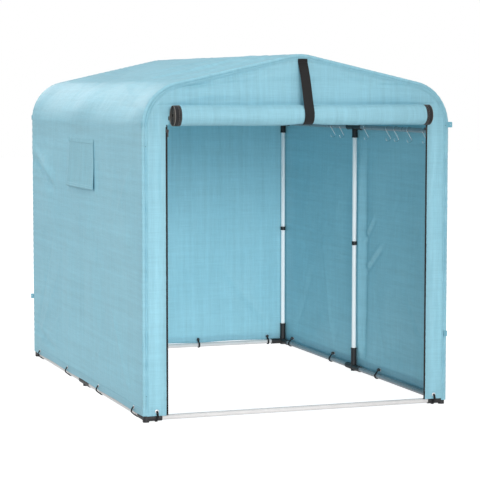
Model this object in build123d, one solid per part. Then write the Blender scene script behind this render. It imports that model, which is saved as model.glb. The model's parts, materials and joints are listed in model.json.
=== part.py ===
from build123d import *
import math
import os

# A tube-framed storage tent for bicycles: three steel arches on a base ring,
# a fitted woven cover with a roll-up door, a vent flap and hanging hooks.
# All lengths are in millimetres and all angles in degrees. +Z is up, the door
# faces -Y, and the parts are modelled about the middle of the footprint.

# Cover, measured on its outside
half_width = 800.0
half_depth = 1150.0
wall_top = 1412.0
eave_radius = 220.0
roof_pitch = 12.6
ridge_radius = 250.0
cloth = 2.0
hem_z = 30.0

# Cutting shapes run past what they cut
cut_margin = 1.0
punch_length = 12.0

# Steel tubes
tube_radius = 12.5
tube_wall = 0.8
frame_inset = 20.0
frame_pitch = 12.0
base_z = 20.0
eave_z = 1378.0
leg_split_z = 724.0

# Plastic joints
joint_radius = 16.0
socket_gap = 0.15
socket_stop = 20.0
tube_stop = 22.0
arm_across = 78.0
arm_along = 95.0
base_socket = 110.0
eave_socket_down = 60.0
ridge_arm = 75.0
collar_radius = 15.0
collar_height = 22.0

# Doorway, zips and rolled door
zip_x = 674.0
tape_width = 15.0
tape_thickness = 1.0
bead_radius = 1.7
header_z = 1466.0
roll_radius = 52.0
roll_gap = 2.0
roll_wall = 9.0
roll_half_length = 666.0
zip_band = 30.0
curtain_height = 22.0
curtain_thickness = 1.2

# Zip sliders and pulls
slider_width = 12.0
slider_depth = 9.0
slider_height = 14.0
slider_top_z = 1400.0
channel_half = 2.6
tape_slot = 2.4
ear_thickness = 1.2
ear_reach = 4.5
ear_tip = 1.2
pivot_radius = 0.8
eye_inner = 1.2
eye_outer = 2.8
eye_width = 4.0
pull_length = 26.0
pull_width = 6.0
pull_thickness = 1.4
pull_neck = 2.0

# Strap that ties the roll up
strap_x = 13.0
strap_width = 50.0
strap_thickness = 2.0
strap_gap = 0.6
strap_top_z = 1738.0
strap_sewn = 22.0
strap_bend = 30.0
strap_wrap_end = 260.0

# Vent in the left wall
vent_width = 480.0
vent_height = 190.0
vent_z = 1190.0
screen_margin = 18.0
screen_thickness = 1.0
flap_width = 540.0
flap_height = 244.0
flap_hinge_z = 1310.0
flap_gap = 3.0
flap_lean = 3.0

# Eyelets, elastic loops with their balls, and guy tabs
eyelet_z = 52.0
eyelet_bore = 4.0
eyelet_radius = 9.5
eyelet_flange = 1.2
eyelet_barrel = 0.6
barrel_gap = 0.1
cord_radius = 1.7
cord_gap = 0.1
cord_bend = 3.5
cord_stand_off = 4.5
ball_radius = 8.0
side_loop_y = (-990.0, -330.0, 330.0, 990.0)
front_loop_x = (-730.0, 730.0)
back_loop_x = (-680.0, -227.0, 227.0, 680.0)
tab_reach = 20.0
tab_height = 26.0
tab_hole = 4.0
tab_z = (360.0, 1420.0)

# S-hooks on the right-hand eave rail
hook_y = (-913.0, -724.0, -559.0, -455.0, -158.0, 193.0, 322.0)
wire_radius = 1.75
hook_gap = 0.3
hook_drop = 54.0
hook_lower_radius = 13.0
hook_tip = 10.0

# Derived places
leg_x = half_width - frame_inset
arch_y = half_depth - frame_inset
bend_x = half_width - eave_radius
bend_radius = eave_radius - frame_inset
pitch = math.radians(roof_pitch)
tube_pitch = math.radians(frame_pitch)
bend_end_x = bend_x + bend_radius * math.sin(tube_pitch)
bend_end_z = wall_top + bend_radius * math.cos(tube_pitch)
ridge_z = bend_end_z + bend_end_x * math.tan(tube_pitch)
slope_start_x = bend_x + eave_radius * math.sin(pitch)
roof_apex_z = wall_top + eave_radius * math.cos(pitch) + slope_start_x * math.tan(pitch)
ridge_centre_z = roof_apex_z - ridge_radius / math.cos(pitch)
strip_inner_x = zip_x + tape_width
strip_outer_x = half_width - cloth
face_y = half_depth - cloth / 2
roll_y = -(half_depth + roll_gap + roll_radius)
front_reach = -roll_y + roll_radius + strap_gap + strap_thickness
back_reach = half_depth + cord_stand_off + cord_radius
shelter_y = (front_reach - back_reach) / 2

arches = {"front": -arch_y, "middle": 0.0, "rear": arch_y}
sides = {"left": -1, "right": 1}


def save(node, *solids):
    """Write one node, moved so that the origin is under the middle of the whole tent."""
    shape = solids[0] if len(solids) == 1 else Compound(list(solids))
    export_step(Pos(0, shelter_y, 0) * shape, f"parts/{node}.step")


def rod(start, end, radius):
    """A round bar between two points."""
    run = Vector(end) - Vector(start)
    return extrude(Plane(origin=start, z_dir=run) * Circle(radius), run.length)


def tube(start, end):
    """A steel tube between two points."""
    return rod(start, end, tube_radius) - rod(start, end, tube_radius - tube_wall)


def block(low, high):
    """A box from its lowest to its highest corner."""
    size = [high[i] - low[i] for i in range(3)]
    middle = [(high[i] + low[i]) / 2 for i in range(3)]
    return Pos(*middle) * Box(*size)


def joint(centre, core, arms):
    """A moulded joint: a core with one bored socket along each arm."""
    centre = Vector(centre)
    body = core
    for direction, length in arms:
        body += rod(centre, centre + Vector(direction) * length, joint_radius)
    for direction, length in arms:
        direction = Vector(direction)
        start = centre + direction * socket_stop
        body -= rod(start, centre + direction * (length + cut_margin), tube_radius + socket_gap)
    return body


def arms_along(arch):
    """Sockets that run along the tent: one from the front arch, two from the middle one."""
    backward = [((0, 1, 0), arm_along)]
    return backward if arch == "front" else backward + [((0, -1, 0), arm_along)]


def on_arches(make):
    """Make a joint for each arch; the rear one is the front one turned back to front."""
    front = make("front")
    return {"front": front, "middle": make("middle"), "rear": mirror(front, about=Plane.XZ)}


def base_joint(side, arch):
    """Foot joint: a tall socket for the leg, and one for each base tube."""
    x, y = side * leg_x, arches[arch]
    foot = rod((x, y, 0), (x, y, base_z), joint_radius)
    across = [] if arch == "middle" else [((-side, 0, 0), arm_across)]
    return joint((x, y, base_z), foot, [((0, 0, 1), base_socket)] + across + arms_along(arch))


def eave_joint(side, arch):
    """Joint between leg, roof tube and eave rail."""
    x, y = side * leg_x, arches[arch]
    core = rod((x, y, eave_z), (x, y, eave_z + socket_stop), joint_radius)
    arms = [((0, 0, -1), eave_socket_down), ((0, 0, 1), wall_top - eave_z)]
    return joint((x, y, eave_z), core, arms + arms_along(arch))


def ridge_joint(arch):
    """Joint between the two roof tubes and the ridge rail."""
    centre = (0, arches[arch], ridge_z)
    slope = [((s * math.cos(tube_pitch), 0, -math.sin(tube_pitch)), ridge_arm) for s in (-1, 1)]
    return joint(centre, Pos(*centre) * Sphere(joint_radius), slope + arms_along(arch))


def along_tubes(x, z):
    """The two tubes that run front to back between the arches at one place."""
    first = tube((x, -arch_y + tube_stop, z), (x, -tube_stop, z))
    second = tube((x, tube_stop, z), (x, arch_y - tube_stop, z))
    return first, second


def leg(side, arch):
    """A leg in two lengths that meet inside the collar."""
    x, y = side * leg_x, arches[arch]
    lower = tube((x, y, base_z + tube_stop), (x, y, leg_split_z))
    upper = tube((x, y, leg_split_z), (x, y, eave_z - tube_stop))
    return lower, upper


def collar(side, arch):
    """Plastic collar over the joint between the two lengths of a leg."""
    ring = Circle(collar_radius) - Circle(tube_radius + socket_gap)
    return Pos(side * leg_x, arches[arch], leg_split_z - collar_height / 2) * extrude(ring, collar_height)


def roof_tube(side, arch):
    """A bent tube from the eave joint up to the ridge joint."""
    stop = (tube_stop * math.cos(tube_pitch), ridge_z - tube_stop * math.sin(tube_pitch))
    rise = Line((leg_x, eave_z + tube_stop), (leg_x, wall_top))
    bend = CenterArc((bend_x, wall_top), bend_radius, 0, 90 - frame_pitch)
    slope = Line((bend_end_x, bend_end_z), stop)
    path = Plane.XZ * Wire([rise, bend, slope])
    ring = Circle(tube_radius) - Circle(tube_radius - tube_wall)
    solid = sweep(Plane(origin=path @ 0, z_dir=path % 0) * ring, path)
    if side < 0:
        solid = mirror(solid, about=Plane.YZ)
    return Pos(0, arches[arch], 0) * solid


def cover_outline(inset, low_z):
    """The cover's cross-section: walls, rounded eaves, sloping roof and soft ridge."""
    x = half_width - inset
    eave = eave_radius - inset
    ridge = ridge_radius - inset
    eave_top = (bend_x + eave * math.sin(pitch), wall_top + eave * math.cos(pitch))
    ridge_start = (ridge * math.sin(pitch), ridge_centre_z + ridge * math.cos(pitch))
    edges = [
        Line((-x, low_z), (x, low_z)),
        Line((x, low_z), (x, wall_top)),
        CenterArc((bend_x, wall_top), eave, 0, 90 - roof_pitch),
        Line(eave_top, ridge_start),
        CenterArc((0, ridge_centre_z), ridge, 90 - roof_pitch, 2 * roof_pitch),
        Line((-ridge_start[0], ridge_start[1]), (-eave_top[0], eave_top[1])),
        CenterArc((-bend_x, wall_top), eave, 90 + roof_pitch, 90 - roof_pitch),
        Line((-x, wall_top), (-x, low_z)),
    ]
    return make_face(Wire(edges))


def panel(outline, front_y, back_y):
    """Extrude an outline drawn across the tent from one depth to another."""
    return Pos(0, back_y, 0) * extrude(Plane.XZ * outline, back_y - front_y)


def roof_panels():
    """The curved eave and the roof slope of each side, cut from one bent sheet."""
    ring = cover_outline(0, hem_z) - cover_outline(cloth, hem_z - cut_margin)
    sheet = panel(ring, -half_depth, half_depth)
    reach, high_z = 2 * half_depth, 2 * wall_top
    parts = {}
    for name, side in sides.items():
        inner, outer = sorted((side * slope_start_x, side * 2 * half_width))
        parts[f"eave_cover_{name}"] = sheet & block((inner, -reach, wall_top), (outer, reach, high_z))
        inner, outer = sorted((0.0, side * slope_start_x))
        parts[f"roof_cover_{name}"] = sheet & block((inner, -reach, wall_top), (outer, reach, high_z))
    return parts


def loop_places():
    """Where the elastic loops sit: tube centre, outward angle and radius of what they go round."""
    places = [(side * leg_x, y, 90 - side * 90, tube_radius) for side in (-1, 1) for y in side_loop_y]
    places += [(x, -arch_y, -90, joint_radius) for x in front_loop_x]
    places += [(x, arch_y, 90, tube_radius if abs(x) < leg_x - arm_across else joint_radius)
               for x in back_loop_x]
    return places


def at_loops(make):
    """Put one copy of a piece, drawn facing +X from the tube centre, at each loop."""
    return [Pos(x, y, 0) * Rot(0, 0, angle) * make(radius) for x, y, angle, radius in loop_places()]


def eyelet(_):
    """A pressed eyelet: a flange on each face of the cloth and a barrel through it."""
    ring = Circle(eyelet_radius) - Circle(eyelet_bore)
    barrel = Circle(eyelet_bore + eyelet_barrel) - Circle(eyelet_bore)
    outside = extrude(ring, eyelet_flange)
    through = Pos(0, 0, -cloth) * extrude(barrel, cloth)
    inside = Pos(0, 0, -cloth - eyelet_flange) * extrude(ring, eyelet_flange)
    return Pos(frame_inset, 0, eyelet_z) * Rot(0, 90, 0) * (outside + through + inside)


def eyelet_hole(_):
    """The hole that an eyelet is pressed into."""
    hole = Cylinder(eyelet_bore + eyelet_barrel + barrel_gap, punch_length)
    return Pos(frame_inset, 0, eyelet_z) * Rot(0, 90, 0) * hole


def ball_x():
    """How far the ball's centre lies outward of the tube centre, inside the cover."""
    return frame_inset - cloth - eyelet_flange - ball_radius


def loop_ball(_):
    return Pos(ball_x(), 0, eyelet_z) * Sphere(ball_radius)


def touch_angle(x, z, radius, side):
    """Angle at which a line from a point meets a circle about the origin."""
    return math.degrees(math.atan2(z, x)) - side * math.degrees(math.acos(radius / math.hypot(x, z)))


def elastic_loop(radius):
    """The cord from the ball, out through the eyelet, round the tube and back to the ball."""
    wrap = radius + cord_radius + cord_gap
    out_x = frame_inset + cord_stand_off
    start = touch_angle(out_x, hem_z - base_z, wrap, 1)
    end = touch_angle(ball_x(), eyelet_z - base_z, wrap, -1) - 360
    first = (wrap * math.cos(math.radians(start)), base_z + wrap * math.sin(math.radians(start)))
    last = (wrap * math.cos(math.radians(end)), base_z + wrap * math.sin(math.radians(end)))
    ball = (ball_x(), eyelet_z)
    knot = (ball_x() + ball_radius / 2, eyelet_z)
    outer = FilletPolyline(knot, (out_x, eyelet_z), (out_x, hem_z), first, radius=cord_bend)
    under = CenterArc((0, base_z), wrap, start, end - start)
    path = Plane.XZ * Wire([*outer.edges(), under, Line(last, ball)])
    return sweep(Plane(origin=path @ 0, z_dir=path % 0) * Circle(cord_radius), path)


def guy_tab(side, y, z, flat):
    """A cloth tab with a hole, standing out of a corner seam or lying against the wall."""
    tab = Box(tab_reach, cloth, tab_height) - Rot(90, 0, 0) * Cylinder(tab_hole, punch_length)
    if flat:
        inward = -math.copysign(tab_reach / 2, y)
        return Pos(side * (half_width + cloth / 2), y + inward, z) * Rot(0, 0, 90) * tab
    return Pos(side * (half_width + tab_reach / 2), math.copysign(face_y, y), z) * tab


def guy_tabs():
    """Two tabs at each corner; the pair at the front left lies flat."""
    return [guy_tab(side, y, z, flat=(side < 0 and y < 0))
            for side in (-1, 1) for y in (-half_depth, half_depth) for z in tab_z]


def strap():
    """The strap: sewn to the gable, pulled over the front of the roll and turned under it."""
    radius = roll_radius + strap_gap + strap_thickness / 2
    sewn_y = -(half_depth + strap_thickness / 2 + cord_gap)
    low_z = strap_top_z - strap_sewn
    start = touch_angle(sewn_y - roll_y, low_z - header_z, radius, -1)
    turn = math.radians(start)
    contact = (roll_y + radius * math.cos(turn), header_z + radius * math.sin(turn))
    straight = FilletPolyline((sewn_y, strap_top_z), (sewn_y, low_z), contact, radius=strap_bend)
    wrap = CenterArc((roll_y, header_z), radius, start, strap_wrap_end - start)
    path = Plane.YZ * Wire([*straight.edges(), wrap])
    section = Plane(origin=path @ 0, x_dir=(1, 0, 0), z_dir=path % 0)
    return Pos(strap_x, 0, 0) * sweep(section * Rectangle(strap_width, strap_thickness), path)


def door_roll(inner_x, outer_x):
    """A length of the rolled door, as a thick-walled tube along X."""
    ring = Circle(roll_radius) - Circle(roll_radius - roll_wall)
    return Pos(inner_x, roll_y, header_z) * (Plane.YZ * extrude(ring, outer_x - inner_x))


def zip_tape(side):
    """The half of the zip that stays on the front strip: tape and coil."""
    low_x, high_x = sorted((side * zip_x, side * strip_inner_x))
    half = tape_thickness / 2
    tape = block((low_x, -face_y - half, hem_z), (high_x, -face_y + half, header_z))
    coil = rod((side * zip_x, -face_y, hem_z), (side * zip_x, -face_y, header_z), bead_radius)
    return tape + coil


def zip_slider(side):
    """Slider with a channel for the coil, a slot for the tape and a pivot bar in front."""
    x = side * zip_x
    low_z = slider_top_z - slider_height
    front_y = -face_y - slider_depth / 2
    body = block((x - slider_width / 2, front_y, low_z),
                 (x + slider_width / 2, front_y + slider_depth, slider_top_z))
    body -= block((x - channel_half, -face_y - channel_half, low_z - cut_margin),
                  (x + channel_half, -face_y + channel_half, slider_top_z + cut_margin))
    slot_x = sorted((x, x + side * slider_width))
    body -= block((slot_x[0], -face_y - tape_slot / 2, low_z - cut_margin),
                  (slot_x[1], -face_y + tape_slot / 2, slider_top_z + cut_margin))
    ear_x = eye_width / 2 + socket_gap
    for s in (-1, 1):
        inner, outer = sorted((x + s * ear_x, x + s * (ear_x + ear_thickness)))
        body += block((inner, front_y - ear_reach, pull_pivot_z() - eye_outer / 2),
                      (outer, front_y, pull_pivot_z() + eye_outer / 2))
    bar = rod((x - ear_x - ear_thickness / 2, pull_pivot_y(), pull_pivot_z()),
              (x + ear_x + ear_thickness / 2, pull_pivot_y(), pull_pivot_z()), pivot_radius)
    return body + bar


def pull_pivot_y():
    return -face_y - slider_depth / 2 - ear_reach + ear_tip


def pull_pivot_z():
    return slider_top_z - slider_height / 2 + eye_outer


def zip_pull(side):
    """Pull tab: an eye round the slider's pivot bar and a flat tongue below it."""
    x = side * zip_x
    eye = Rot(0, 90, 0) * Cylinder(eye_outer, eye_width)
    neck = Pos(0, 0, -eye_outer - pull_neck / 2) * Box(eye_width, pull_thickness, 2 * eye_outer)
    tongue_z = -eye_outer - pull_neck - pull_length / 2
    tongue = Pos(0, 0, tongue_z) * Box(pull_width, pull_thickness, pull_length)
    hole = Rot(0, 90, 0) * Cylinder(eye_inner, 2 * eye_width)
    return Pos(x, pull_pivot_y(), pull_pivot_z()) * (eye + neck + tongue - hole)


def vent_flap():
    """Cloth flap that hangs from its top edge and leans a little off the wall."""
    flap = Pos(0, 0, -flap_height / 2) * Box(cloth, flap_width, flap_height)
    return Pos(-half_width - flap_gap, 0, flap_hinge_z) * Rot(0, flap_lean, 0) * flap


def s_hook():
    """A wire S over the rail, turned so that its weight hangs under the rail's centre."""
    upper = tube_radius + hook_gap + wire_radius
    lean = math.degrees(math.asin((upper + hook_lower_radius) / hook_drop))
    c, s = math.cos(math.radians(lean)), math.sin(math.radians(lean))
    over = CenterArc((0, 0), upper, -hook_tip, 180 + lean + hook_tip)
    shank = Line((-upper * c, -upper * s), (hook_lower_radius * c, hook_lower_radius * s - hook_drop))
    under = CenterArc((0, -hook_drop), hook_lower_radius, lean, -180 - lean - hook_tip)
    path = Plane.XZ * Wire([over, shank, under])
    wire = sweep(Plane(origin=path @ 0, z_dir=path % 0) * Circle(wire_radius), path)
    wire += Pos(path @ 0) * Sphere(wire_radius)
    wire += Pos(path @ 1) * Sphere(wire_radius)
    weight = wire.center(CenterOf.MASS)
    swing = math.degrees(math.atan2(weight.X, -weight.Z))
    return Rot(0, swing, 0) * wire


def build_frame():
    base = [on_arches(lambda arch: base_joint(side, arch)) for side in sides.values()]
    eave = [on_arches(lambda arch: eave_joint(side, arch)) for side in sides.values()]
    for arch in arches:
        kind = "tees" if arch == "middle" else "corners"
        save(f"base_{kind}_{arch}", *[joints[arch] for joints in base])
        save(f"eave_{kind}_{arch}", *[joints[arch] for joints in eave])
        for name, side in sides.items():
            save(f"leg_{arch}_{name}", *leg(side, arch))
            save(f"roof_tube_{arch}_{name}", roof_tube(side, arch))
    save("ridge_joints", *on_arches(ridge_joint).values())
    save("leg_collars", *[collar(side, arch) for side in sides.values() for arch in arches])
    end_x = leg_x - tube_stop
    save("threshold_tube", tube((-end_x, -arch_y, base_z), (end_x, -arch_y, base_z)))
    save("base_tube_rear", tube((-end_x, arch_y, base_z), (end_x, arch_y, base_z)))
    for name, side in sides.items():
        save(f"base_tubes_{name}", *along_tubes(side * leg_x, base_z))
        save(f"eave_rail_{name}", *along_tubes(side * leg_x, eave_z))
    save("ridge_rail", *along_tubes(0, ridge_z))


def build_cover():
    holes = Compound(at_loops(eyelet_hole))
    opening = block((-2 * half_width, -vent_width / 2, vent_z - vent_height / 2),
                    (0, vent_width / 2, vent_z + vent_height / 2))
    right = block((strip_outer_x, -half_depth, hem_z), (half_width, half_depth, wall_top))
    left = block((-half_width, -half_depth, hem_z), (-strip_outer_x, half_depth, wall_top))
    save("wall_right", right - holes)
    save("wall_left", left - holes - opening)
    for node, solid in roof_panels().items():
        save(node, solid)
    back = panel(cover_outline(cloth, hem_z), half_depth - cloth, half_depth)
    save("back_panel", back - holes)
    front = panel(cover_outline(cloth, hem_z), -half_depth, -half_depth + cloth)
    save("front_gable", front & block((-half_width, -half_depth, header_z), (half_width, 0, roof_apex_z)))
    for name, side in sides.items():
        low_x, high_x = sorted((side * strip_inner_x, side * half_width))
        strip = front & block((low_x, -half_depth, hem_z), (high_x, 0, header_z))
        save(f"front_strip_{name}", strip - holes)
        save(f"zip_{name}", zip_tape(side))
    save("eyelets", *at_loops(eyelet))
    save("elastic_loops", *at_loops(elastic_loop))
    save("loop_balls", *at_loops(loop_ball))
    save("guy_tabs", *guy_tabs())
    screen_y = vent_width / 2 + screen_margin
    screen_z = vent_height / 2 + screen_margin
    save("vent_screen", block((-strip_outer_x, -screen_y, vent_z - screen_z),
                              (-strip_outer_x + screen_thickness, screen_y, vent_z + screen_z)))


def build_moving():
    plain = roll_half_length - zip_band
    save("door_roll", door_roll(-plain, plain))
    save("door_zip_bands", door_roll(-roll_half_length, -plain), door_roll(plain, roll_half_length))
    save("door_curtain", block((-roll_half_length, -half_depth, header_z - curtain_height),
                               (roll_half_length, -half_depth + curtain_thickness, header_z)))
    save("door_strap", strap())
    for name, side in sides.items():
        save(f"zip_slider_{name}", zip_slider(side))
        save(f"zip_pull_{name}", zip_pull(side))
    save("vent_flap", vent_flap())
    hook = s_hook()
    for number, y in enumerate(hook_y, start=1):
        save(f"s_hook_{number}", Pos(leg_x, y, eave_z) * hook)


os.makedirs("parts", exist_ok=True)
build_frame()
build_cover()
build_moving()
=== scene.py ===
import json
import math

import bmesh
import bpy
import numpy as np
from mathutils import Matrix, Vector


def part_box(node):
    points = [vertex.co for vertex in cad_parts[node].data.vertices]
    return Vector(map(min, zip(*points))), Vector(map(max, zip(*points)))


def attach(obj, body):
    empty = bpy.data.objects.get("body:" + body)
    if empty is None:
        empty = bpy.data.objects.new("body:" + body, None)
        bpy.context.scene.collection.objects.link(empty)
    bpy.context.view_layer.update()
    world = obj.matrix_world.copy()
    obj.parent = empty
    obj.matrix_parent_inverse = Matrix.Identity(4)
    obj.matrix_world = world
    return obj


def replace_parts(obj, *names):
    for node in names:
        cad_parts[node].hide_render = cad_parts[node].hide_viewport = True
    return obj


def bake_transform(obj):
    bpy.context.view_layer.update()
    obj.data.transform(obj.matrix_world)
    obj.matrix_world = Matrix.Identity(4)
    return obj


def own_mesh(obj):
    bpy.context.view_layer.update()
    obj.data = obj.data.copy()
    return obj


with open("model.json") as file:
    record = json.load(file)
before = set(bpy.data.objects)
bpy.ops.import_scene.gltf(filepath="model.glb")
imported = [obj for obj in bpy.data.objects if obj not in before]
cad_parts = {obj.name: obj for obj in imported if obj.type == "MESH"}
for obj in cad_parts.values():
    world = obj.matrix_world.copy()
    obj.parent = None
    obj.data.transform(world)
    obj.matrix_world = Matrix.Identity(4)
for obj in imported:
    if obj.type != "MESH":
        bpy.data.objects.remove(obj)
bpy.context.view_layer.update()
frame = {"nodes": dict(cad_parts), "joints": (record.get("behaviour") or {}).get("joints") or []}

# A tube-framed storage tent for bicycles: a woven cover over three steel arches,
# with a rolled-up door, a vent flap, and hooks on a rail inside.
# All lengths are in metres. +Z is up and the door faces -Y.

# Places that the frame gives
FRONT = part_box("front_gable")[0].y
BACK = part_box("back_panel")[1].y
MIDDLE = (FRONT + BACK) / 2
DEPTH = BACK - FRONT
HALF_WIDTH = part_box("wall_right")[1].x
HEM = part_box("wall_right")[0].z
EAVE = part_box("wall_right")[1].z
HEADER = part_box("front_gable")[0].z
TUBE = (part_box("threshold_tube")[1].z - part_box("threshold_tube")[0].z) / 2
TUBE_IN = 0.020
BASE_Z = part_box("threshold_tube")[0].z + TUBE
LEG_X = HALF_WIDTH - TUBE_IN
ARCHES = (FRONT + TUBE_IN, MIDDLE, BACK - TUBE_IN)
RAIL_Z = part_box("eave_rail_right")[0].z + TUBE
RIDGE_TUBE_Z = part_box("ridge_rail")[0].z + TUBE
ROLL_LOW, ROLL_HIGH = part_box("door_roll")
ROLL_RADIUS = (ROLL_HIGH.z - ROLL_LOW.z) / 2
ROLL_Y = (ROLL_LOW.y + ROLL_HIGH.y) / 2
ROLL_HALF = ROLL_HIGH.x
BAND_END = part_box("door_zip_bands")[1].x
CURTAIN_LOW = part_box("door_curtain")[0].z
STRAP_LOW, STRAP_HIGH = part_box("door_strap")
STRAP_X = (STRAP_LOW.x + STRAP_HIGH.x) / 2
STRAP_TOP = STRAP_HIGH.z
SLIDER_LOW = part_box("zip_slider_left")[0].z
DROP = next(j for j in frame["joints"] if j["name"] == "door_drop")["range_m"][1]
ZIP_X = 0.674
CLOTH_EDGE = ZIP_X + 0.0085
ZIP_TOP = HEADER - ROLL_RADIUS + 0.008
VENT_LOW, VENT_HIGH = 1.095, 1.285
VENT_HALF = 0.240
FLAP_TOP = 1.310
FLAP_WIDTH, FLAP_HEIGHT = 0.540, 0.244
EYELET_Z = 0.052

# Shape of the cover
EAVE_RADIUS = 0.220
RIDGE_RADIUS = 0.250
PITCH = math.radians(12.6)
BEND_X = HALF_WIDTH - EAVE_RADIUS
TURN = math.pi / 2 - PITCH
EAVE_ARC = EAVE_RADIUS * TURN
APEX = EAVE + EAVE_RADIUS * math.cos(PITCH) + (BEND_X + EAVE_RADIUS * math.sin(PITCH)) * math.tan(PITCH)
RIDGE_CENTRE = APEX - RIDGE_RADIUS / math.cos(PITCH)
SLOPE = (BEND_X + (EAVE_RADIUS - RIDGE_RADIUS) * math.sin(PITCH)) / math.cos(PITCH)
WALL = EAVE - HEM
OUTLINE = 2 * (WALL + EAVE_ARC + SLOPE + RIDGE_RADIUS * PITCH)

# The cover's cloth: how it turns the front and back corners, and its hem
CORNER = 0.009
RETURN = 0.028
OVERHANG = 0.0065
PIPING = 0.017
# Raised and sunk lines along the return: distance from the outside, width, height
BEADS = ((0.0112, 0.0024, 0.0021), (0.0180, 0.0034, -0.0028), (0.0246, 0.0024, 0.0023))
RETURN_FLAT = RETURN - CORNER
CORNER_ARC = CORNER * math.pi / 2
TURNED = RETURN_FLAT + CORNER_ARC
SHEET_DEPTH = DEPTH + 2 * (TURNED - CORNER)
CLOTH_IN = 0.0006
PANEL_IN = CLOTH_IN + 0.0012
HEM_BAND = 0.040
HEM_SEAM = HEM_BAND - 0.004
HEM_FOLD = 0.0013
HEM_TURN = 0.003
HOLE = 0.0044
LAP = 0.009
PANEL_EDGE = RETURN - LAP
GROOVE = 0.035
SEAM_LIFT = 0.0002

SIDE_LOOPS = [MIDDLE + y for y in (-0.990, -0.330, 0.330, 0.990)]
FRONT_LOOPS = (-0.730, 0.730)
BACK_LOOPS = (-0.680, -0.227, 0.227, 0.680)
SIDES = (("left", -1), ("right", 1))
FORWARD = (0.0, -1.0, 0.0)


# ---------------------------------------------------------------- camera, floor and lights

def add_object(name, data):
    made = bpy.data.objects.new(name, data)
    bpy.context.scene.collection.objects.link(made)
    return made


def make_camera():
    lens = bpy.data.cameras.new("camera")
    lens.lens = 136.08
    lens.sensor_width = 36.0
    lens.clip_end = 100.0
    camera = add_object("camera", lens)
    camera.location = (-3.2173, -9.3283, 1.6094)
    camera.rotation_euler = (math.radians(85.125), 0, math.radians(-19.464))
    bpy.context.scene.camera = camera


def make_light(name, place, aim, size, power, cone=None):
    lamp = bpy.data.lights.new(name, "SPOT" if cone else "AREA")
    if cone:
        lamp.spot_size = math.radians(cone)
        lamp.spot_blend = 1.0
        lamp.shadow_soft_size = size / 2
    else:
        lamp.shape = "DISK"
        lamp.size = size
    lamp.energy = power
    light = add_object(name, lamp)
    light.location = place
    toward = np.array(aim) - np.array(place)
    across = math.hypot(toward[0], toward[1])
    light.rotation_euler = (math.atan2(across, -toward[2]), 0, math.atan2(-toward[0], toward[1]))


def seen_or_lit(tree, seen, lit, socket):
    """Show one strength to the camera and light the object with another."""
    path = tree.nodes.new("ShaderNodeLightPath")
    level = tree.nodes.new("ShaderNodeMapRange")
    level.inputs["To Min"].default_value = lit
    level.inputs["To Max"].default_value = seen
    tree.links.new(path.outputs["Is Camera Ray"], level.inputs["Value"])
    tree.links.new(level.outputs[0], socket)


def make_stage():
    world = bpy.data.worlds.new("studio")
    bpy.context.scene.world = world
    world.use_nodes = True
    sky = world.node_tree.nodes["Background"]
    sky.inputs["Color"].default_value = (1, 1, 1, 1)
    seen_or_lit(world.node_tree, 1.0, 0.50, sky.inputs["Strength"])
    bpy.context.scene.view_settings.view_transform = "Standard"
    reach = 30.0
    mesh = bpy.data.meshes.new("floor")
    mesh.from_pydata([(-reach, -reach, 0), (reach, -reach, 0), (reach, reach, 0), (-reach, reach, 0)],
                     [], [(0, 1, 2, 3)])
    floor = add_object("floor", mesh)
    paint = Nodes("studio_floor")
    grain = paint.noise(paint.place(), 3.0, 2.0)
    shade = paint.mix(grain, (0.29, 0.29, 0.29, 1), (0.31, 0.31, 0.31, 1))
    paint.surface(shade, roughness=0.7, **{"Emission Color": (1, 1, 1, 1)})
    shader = next(node for node in paint.tree.nodes if node.type == "BSDF_PRINCIPLED")
    seen_or_lit(paint.tree, 0.92, 0.54, shader.inputs["Emission Strength"])
    mesh.materials.append(paint.material)
    make_light("key", (-0.9, -7.6, 2.1), (-0.10, -0.6, 0.50), 3.0, 2150, cone=33)
    make_light("top", (-1.0, -1.0, 6.5), (0, 0, 1.5), 4.0, 115)
    make_light("rim", (-1.3, 8.5, 4.1), (-0.5, 0, 1.5), 3.6, 140)
    make_light("fill", (-7.2, 1.0, 4.8), (0, 0, 0.9), 3.0, 175)


# ---------------------------------------------------------------- materials

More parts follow.
